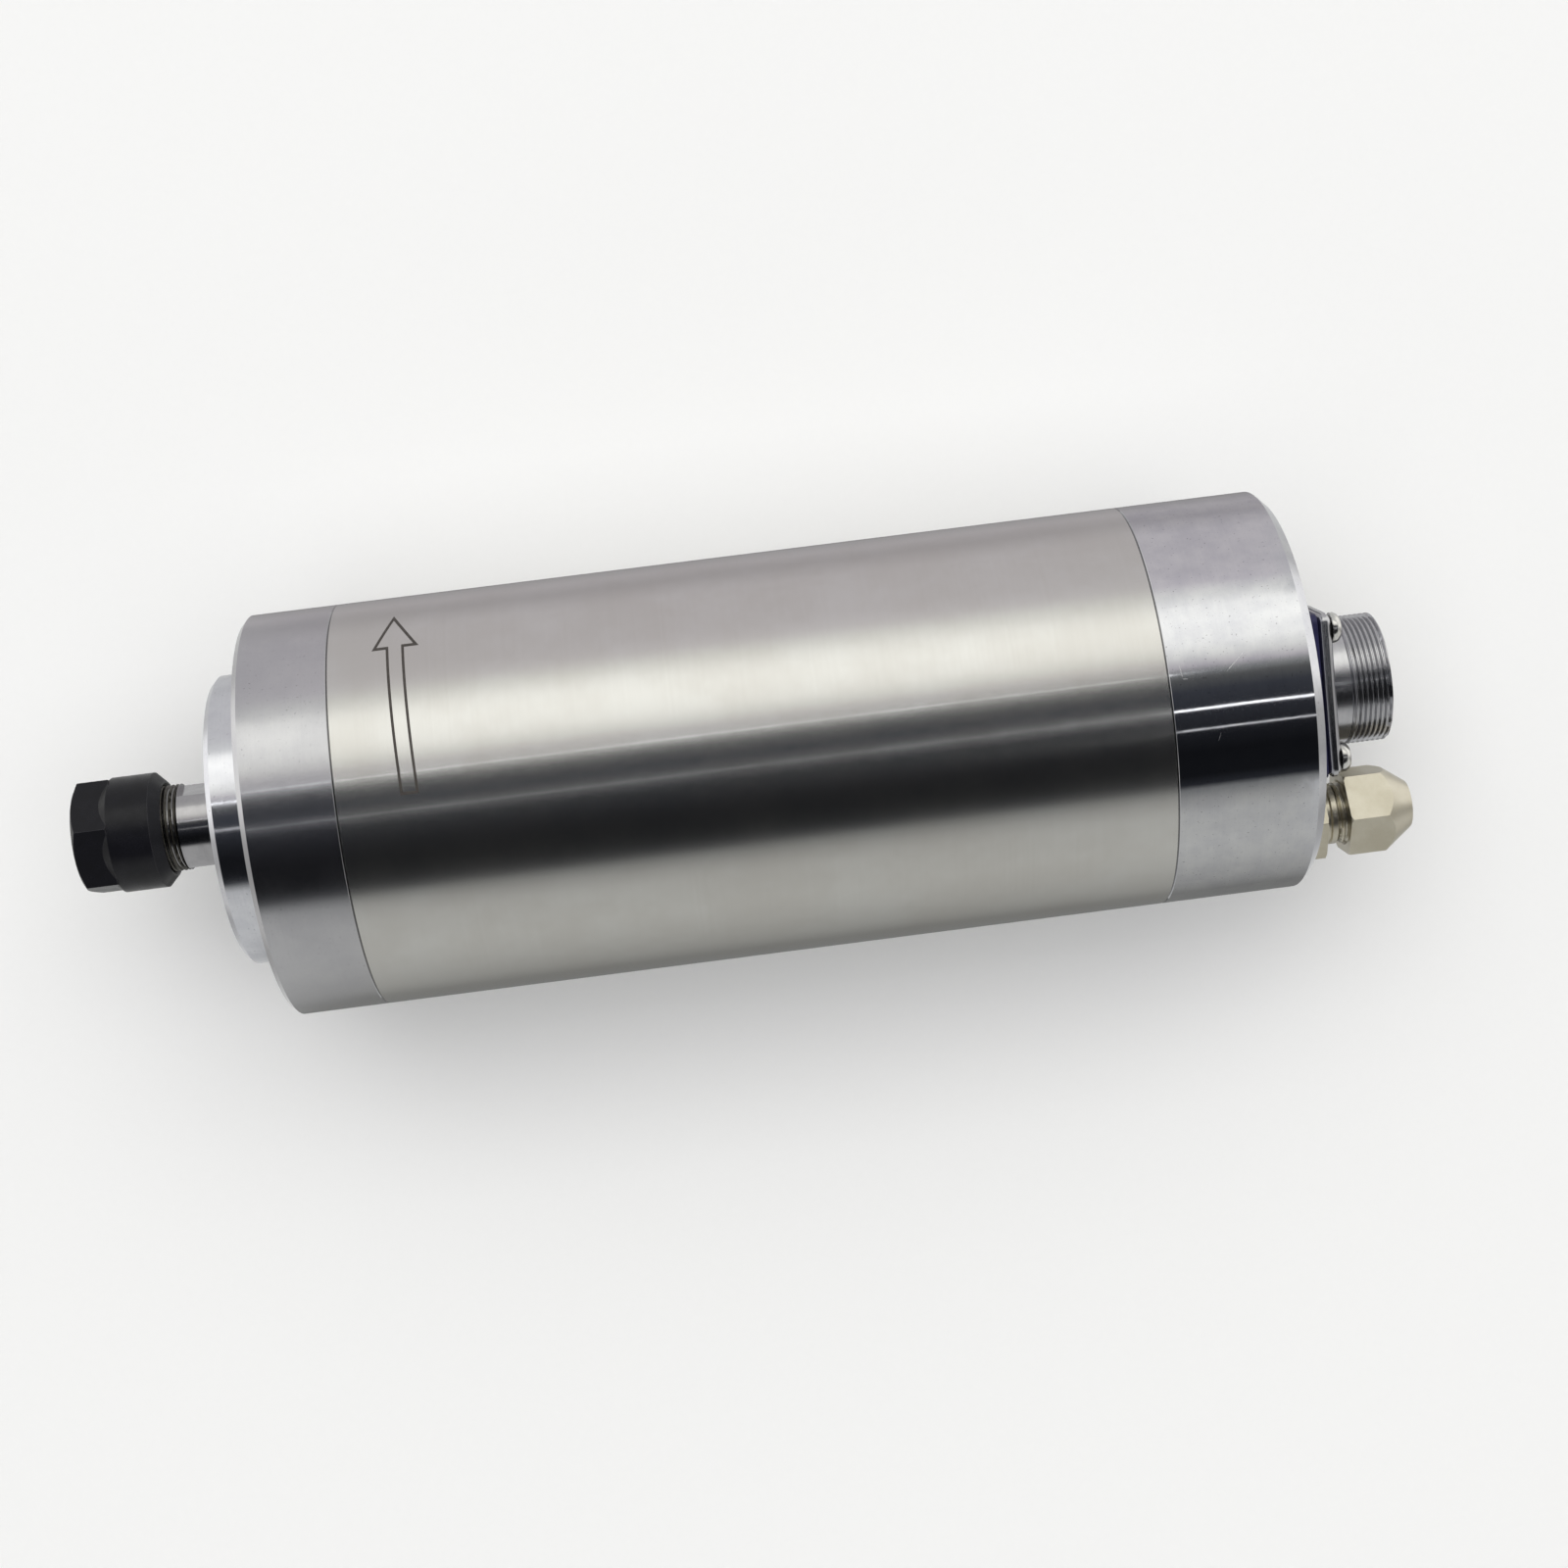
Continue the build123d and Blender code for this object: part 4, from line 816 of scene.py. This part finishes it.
def makeShaftBody():
    front, root, neck = shaft["front"], shaft["root"], shaft["neck"]
    lead, leadDrop = shaft["lead"]
    rootTo = shaft["threadEnd"] - shaft["runOut"][0]
    neckFrom = shaft["threadEnd"] + shaft["runOut"][1]
    collarFrom, collarTo, collarR = shaft["collar"]
    seatR, seatEnd = shaft["seat"]
    rearFrom, rearTo, rearR = shaft["rearSeat"]
    wellR, wellTo, wellTip = shaft["well"]
    chamfer = shaft["rearChamfer"]
    return spinProfile([
        (front, shaft["socket"]), (front, root - leadDrop), (front + lead, root),
        (rootTo, root), (neckFrom, neck), (collarFrom, neck), (collarFrom, collarR),
        (collarTo, collarR), (collarTo, seatR), (seatEnd, seatR), (seatEnd, shaft["core"]),
        (rearFrom, shaft["core"]), (rearFrom, rearR), (rearTo - chamfer, rearR),
        (rearTo, rearR - chamfer), (rearTo, 0), (wellTip, 0), (wellTo, wellR),
        (shaft["socketEnd"][0], wellR), shaft["socketEnd"], (front, shaft["socket"])],
        shaft["steps"])


def makeShaft():
    piece = makeShaftBody()
    thread = cutThread({
        "start": shaft["front"] + shaft["lead"][0], "end": shaft["threadEnd"],
        "pitch": shaft["pitch"], "root": shaft["root"], "crest": shaft["crest"],
        "bore": shaft["socket"] + shaft["threadWall"]})
    flatFrom, flatTo = shaft["flatX"]
    width, depth = shaft["cutter"]
    reach = (shaft["flats"] + depth) / 2
    for turn in (shaft["flatTurn"], shaft["flatTurn"] + 180):
        angle = math.radians(turn)
        cutter = addBlock(
            ((flatFrom + flatTo) / 2, reach * math.cos(angle), reach * math.sin(angle)),
            (flatTo - flatFrom, width, depth), turn - 90)
        combine(piece, cutter, "DIFFERENCE")
    finishPiece(piece, "spindleShaft", "spindle_rotor", "ground_steel", ["spindle_shaft"],
                smoothAngle=30)
    finishPiece(thread, "noseThread", "spindle_rotor", "ground_steel", finishName="oiled_thread")


makeShaft()
print("shaft done")


# power connector: square flange, threaded barrel and the key in its mouth
connector = {
    "turn": 10.5, "side": 26.6, "corner": 1.6, "cornerSteps": 6, "flange": (168.6, 171.1),
    "skirt": (161.0, 9.2), "bore": 8.6, "neck": 10.25, "threadFrom": 174.2, "end": 180.8,
    "shoulder": 0.25, "chamfer": 0.2, "mouth": 0.25, "steps": 128,
    "root": 10.0, "crest": 10.5, "pitch": 0.82, "threadGap": (0.2, 0.12), "threadWall": 0.6,
    "key": (5.3, 1.2, 2.0), "keyPlace": (177.05, 8.4), "keyTurn": 45,
}


def makeBarrel():
    c = connector
    skirtFrom, skirtR = c["skirt"]
    start, end = c["threadFrom"], c["end"]
    barrel = spinProfile([
        (skirtFrom, c["bore"]), (skirtFrom, skirtR), (c["flange"][0], skirtR),
        (c["flange"][0], c["neck"]), (start, c["neck"]), (start + c["shoulder"], c["root"]),
        (end - c["chamfer"], c["root"]), (end, c["root"] - c["chamfer"]),
        (end, c["bore"] + c["mouth"]), (end - c["mouth"], c["bore"]), (skirtFrom, c["bore"])],
        c["steps"])
    thread = cutThread({
        "start": start + c["threadGap"][0], "end": end - c["threadGap"][1], "pitch": c["pitch"],
        "root": c["root"], "crest": c["crest"], "bore": c["bore"] + c["threadWall"]})
    return barrel, thread


def makeFlange():
    start, end = connector["flange"]
    plate = addBlock(((start + end) / 2, 0, 0), (end - start, connector["side"], connector["side"]),
                     connector["turn"])
    settle(plate)
    bpy.ops.object.mode_set(mode="EDIT")
    bpy.ops.mesh.select_all(action="DESELECT")
    bpy.ops.object.mode_set(mode="OBJECT")
    # the four edges that run along the axis are rounded
    for edge in plate.data.edges:
        ends = [plate.data.vertices[v].co for v in edge.vertices]
        edge.select = abs(ends[0].x - ends[1].x) > (end - start) / 2 * mm
    bpy.ops.object.mode_set(mode="EDIT")
    bpy.ops.mesh.select_mode(type="EDGE")
    bpy.ops.mesh.bevel(
        offset=connector["corner"] * mm, segments=connector["cornerSteps"], affect="EDGES")
    bpy.ops.mesh.select_mode(type="VERT")
    bpy.ops.object.mode_set(mode="OBJECT")
    return plate


def makeConnector():
    barrel, thread = makeBarrel()
    plate = makeFlange()
    turn = connector["turn"] + connector["keyTurn"]
    keyX, keyR = connector["keyPlace"]
    angle = math.radians(turn)
    key = addBlock((keyX, keyR * math.cos(angle), keyR * math.sin(angle)), connector["key"], turn)
    joinPieces(barrel, thread, plate, key)
    finishPiece(barrel, "connectorBarrel", "housing", "connector_chrome", ["connector_shell"],
                smoothAngle=30)


makeConnector()
print("connector done")


# flange screws: domed heads with a cross recess
flangeScrew = {
    "seat": 171.1, "head": 2.5, "tip": 157.0, "shank": 1.45, "offset": 10.5, "steps": 48,
    # how far up the head, and how far in from its rim
    "dome": ((0, 0.12), (0.12, 0), (0.7, 0), (1.2, 0.28), (1.6, 0.85), (1.83, 1.6), (1.9, 2.5)),
    "recess": (0.62, 2.7, 1.1),  # slot's width, its length and its depth
    "above": 0.4,  # how far the cutter stands out of the head
    "spread": 37,  # each screw stopped at its own turn
}


def makeFlangeScrews():
    s = flangeScrew
    crown = s["dome"][-1][0]
    profile = [(s["tip"], 0), (s["tip"], s["shank"]), (s["seat"], s["shank"])]
    profile += [(s["seat"] + up, s["head"] - inward) for up, inward in s["dome"]]
    first = spinProfile(profile, s["steps"])
    width, reach, depth = s["recess"]
    middle = s["seat"] + crown + (s["above"] - depth) / 2
    for turn in (0, 90):
        cutter = addBlock((middle, 0, 0), (depth + s["above"], width, reach), turn)
        combine(first, cutter, "DIFFERENCE")
    copies = []
    for y in (-1, 1):
        for z in (-1, 1):
            copy = copyPiece(first)
            flangeTurn = Matrix.Rotation(math.radians(connector["turn"]), 4, "X")
            place = Matrix.Translation((0, y * s["offset"] * mm, z * s["offset"] * mm))
            ownTurn = Matrix.Rotation(math.radians(s["spread"] * (y + 2 * z)), 4, "X")
            copy.matrix_world = flangeTurn @ place @ ownTurn
            settle(copy)
            copies.append(copy)
    bpy.data.objects.remove(first)
    screws = joinPieces(*copies)
    finishPiece(screws, "flangeScrews", "housing", "plated_screw_steel", ["connector_screws"],
                smoothAngle=35)


makeFlangeScrews()
print("flange screws done")


# hose fittings: stud, hexagon base, groove and threaded stem
fitting = {
    "circle": 21.5, "turn": -20.7, "flats": 13.0, "hex": (164.8, 168.6), "chamfer": 0.4,
    "stud": (157.0, 5.0), "waterway": 2.0, "groove": (169.6, 4.7), "grooveSide": 0.25,
    "threadFrom": 171.1, "end": 178.2, "root": 4.45, "crest": 5.0, "pitch": 1.0, "lead": 0.4,
    "tipChamfer": 0.2, "threadGap": 0.3, "threadWall": 0.6,
    "hose": (172.5, 3.1), "steps": 64, "inBase": 0.5, "baseSteps": 96, "baseRim": 0.1,
    "hexCutter": 2.0,  # how much longer than the base it is
}


def makeStem():
    f = fitting
    stud, studR = f["stud"]
    hoseStop, hoseR = f["hose"]
    grooveEnd, grooveR = f["groove"]
    inBase = f["hex"][0] + f["inBase"]  # the step from stud to groove is hidden in the base
    stem = spinProfile([
        (stud, f["waterway"]), (stud, studR), (inBase, studR), (inBase, grooveR),
        (grooveEnd, grooveR), (grooveEnd + f["grooveSide"], studR),
        (f["threadFrom"] - f["lead"], studR), (f["threadFrom"], f["root"]),
        (f["end"] - f["tipChamfer"], f["root"]), (f["end"], f["root"] - f["tipChamfer"]),
        (f["end"], hoseR), (hoseStop, hoseR), (hoseStop, f["waterway"]), (stud, f["waterway"])],
        f["steps"])
    thread = cutThread({
        "start": f["threadFrom"], "end": f["end"] - f["threadGap"], "pitch": f["pitch"],
        "root": f["root"], "crest": f["crest"], "bore": hoseR + f["threadWall"]})
    return stem, thread


# a turned disc with a chamfer, cut to a hexagon
def makeBase():
    start, end = fitting["hex"]
    chamfer, rim = fitting["chamfer"], fitting["baseRim"]
    cornerR = fitting["flats"] / 2 / math.cos(math.radians(30))
    base = spinProfile([
        (start, 0), (start, cornerR - rim), (start + rim, cornerR), (end - chamfer / 2, cornerR),
        (end, cornerR - chamfer), (end, 0)], fitting["baseSteps"])
    startPiece()
    bpy.ops.mesh.primitive_cylinder_add(
        vertices=6, radius=cornerR * mm, depth=(end - start + fitting["hexCutter"]) * mm,
        location=((start + end) / 2 * mm, 0, 0), rotation=(0, math.pi / 2, 0))
    hexagon = bpy.context.object
    bpy.ops.object.transform_apply(location=True, rotation=True)
    # from where the primitive's first corner is to the turn that it needs
    corner = hexagon.data.vertices[0].co
    turn = math.radians(fitting["turn"]) - math.atan2(corner.z, corner.y)
    hexagon.rotation_euler = (turn, 0, 0)
    combine(base, hexagon, "INTERSECT")
    return base


def makeFittings():
    stem, thread = makeStem()
    inlet = joinPieces(stem, thread, makeBase())
    outlet = copyPiece(inlet)
    inlet.location = (0, -fitting["circle"] * mm, 0)
    outlet.location = (0, 0, -fitting["circle"] * mm)
    finishPiece(inlet, "inletFitting", "housing", "nickel_brass", ["inlet_fitting"],
                smoothAngle=30)
    finishPiece(outlet, "outletFitting", "housing", "nickel_brass", ["outlet_fitting"],
                smoothAngle=30)


makeFittings()
print("fittings done")
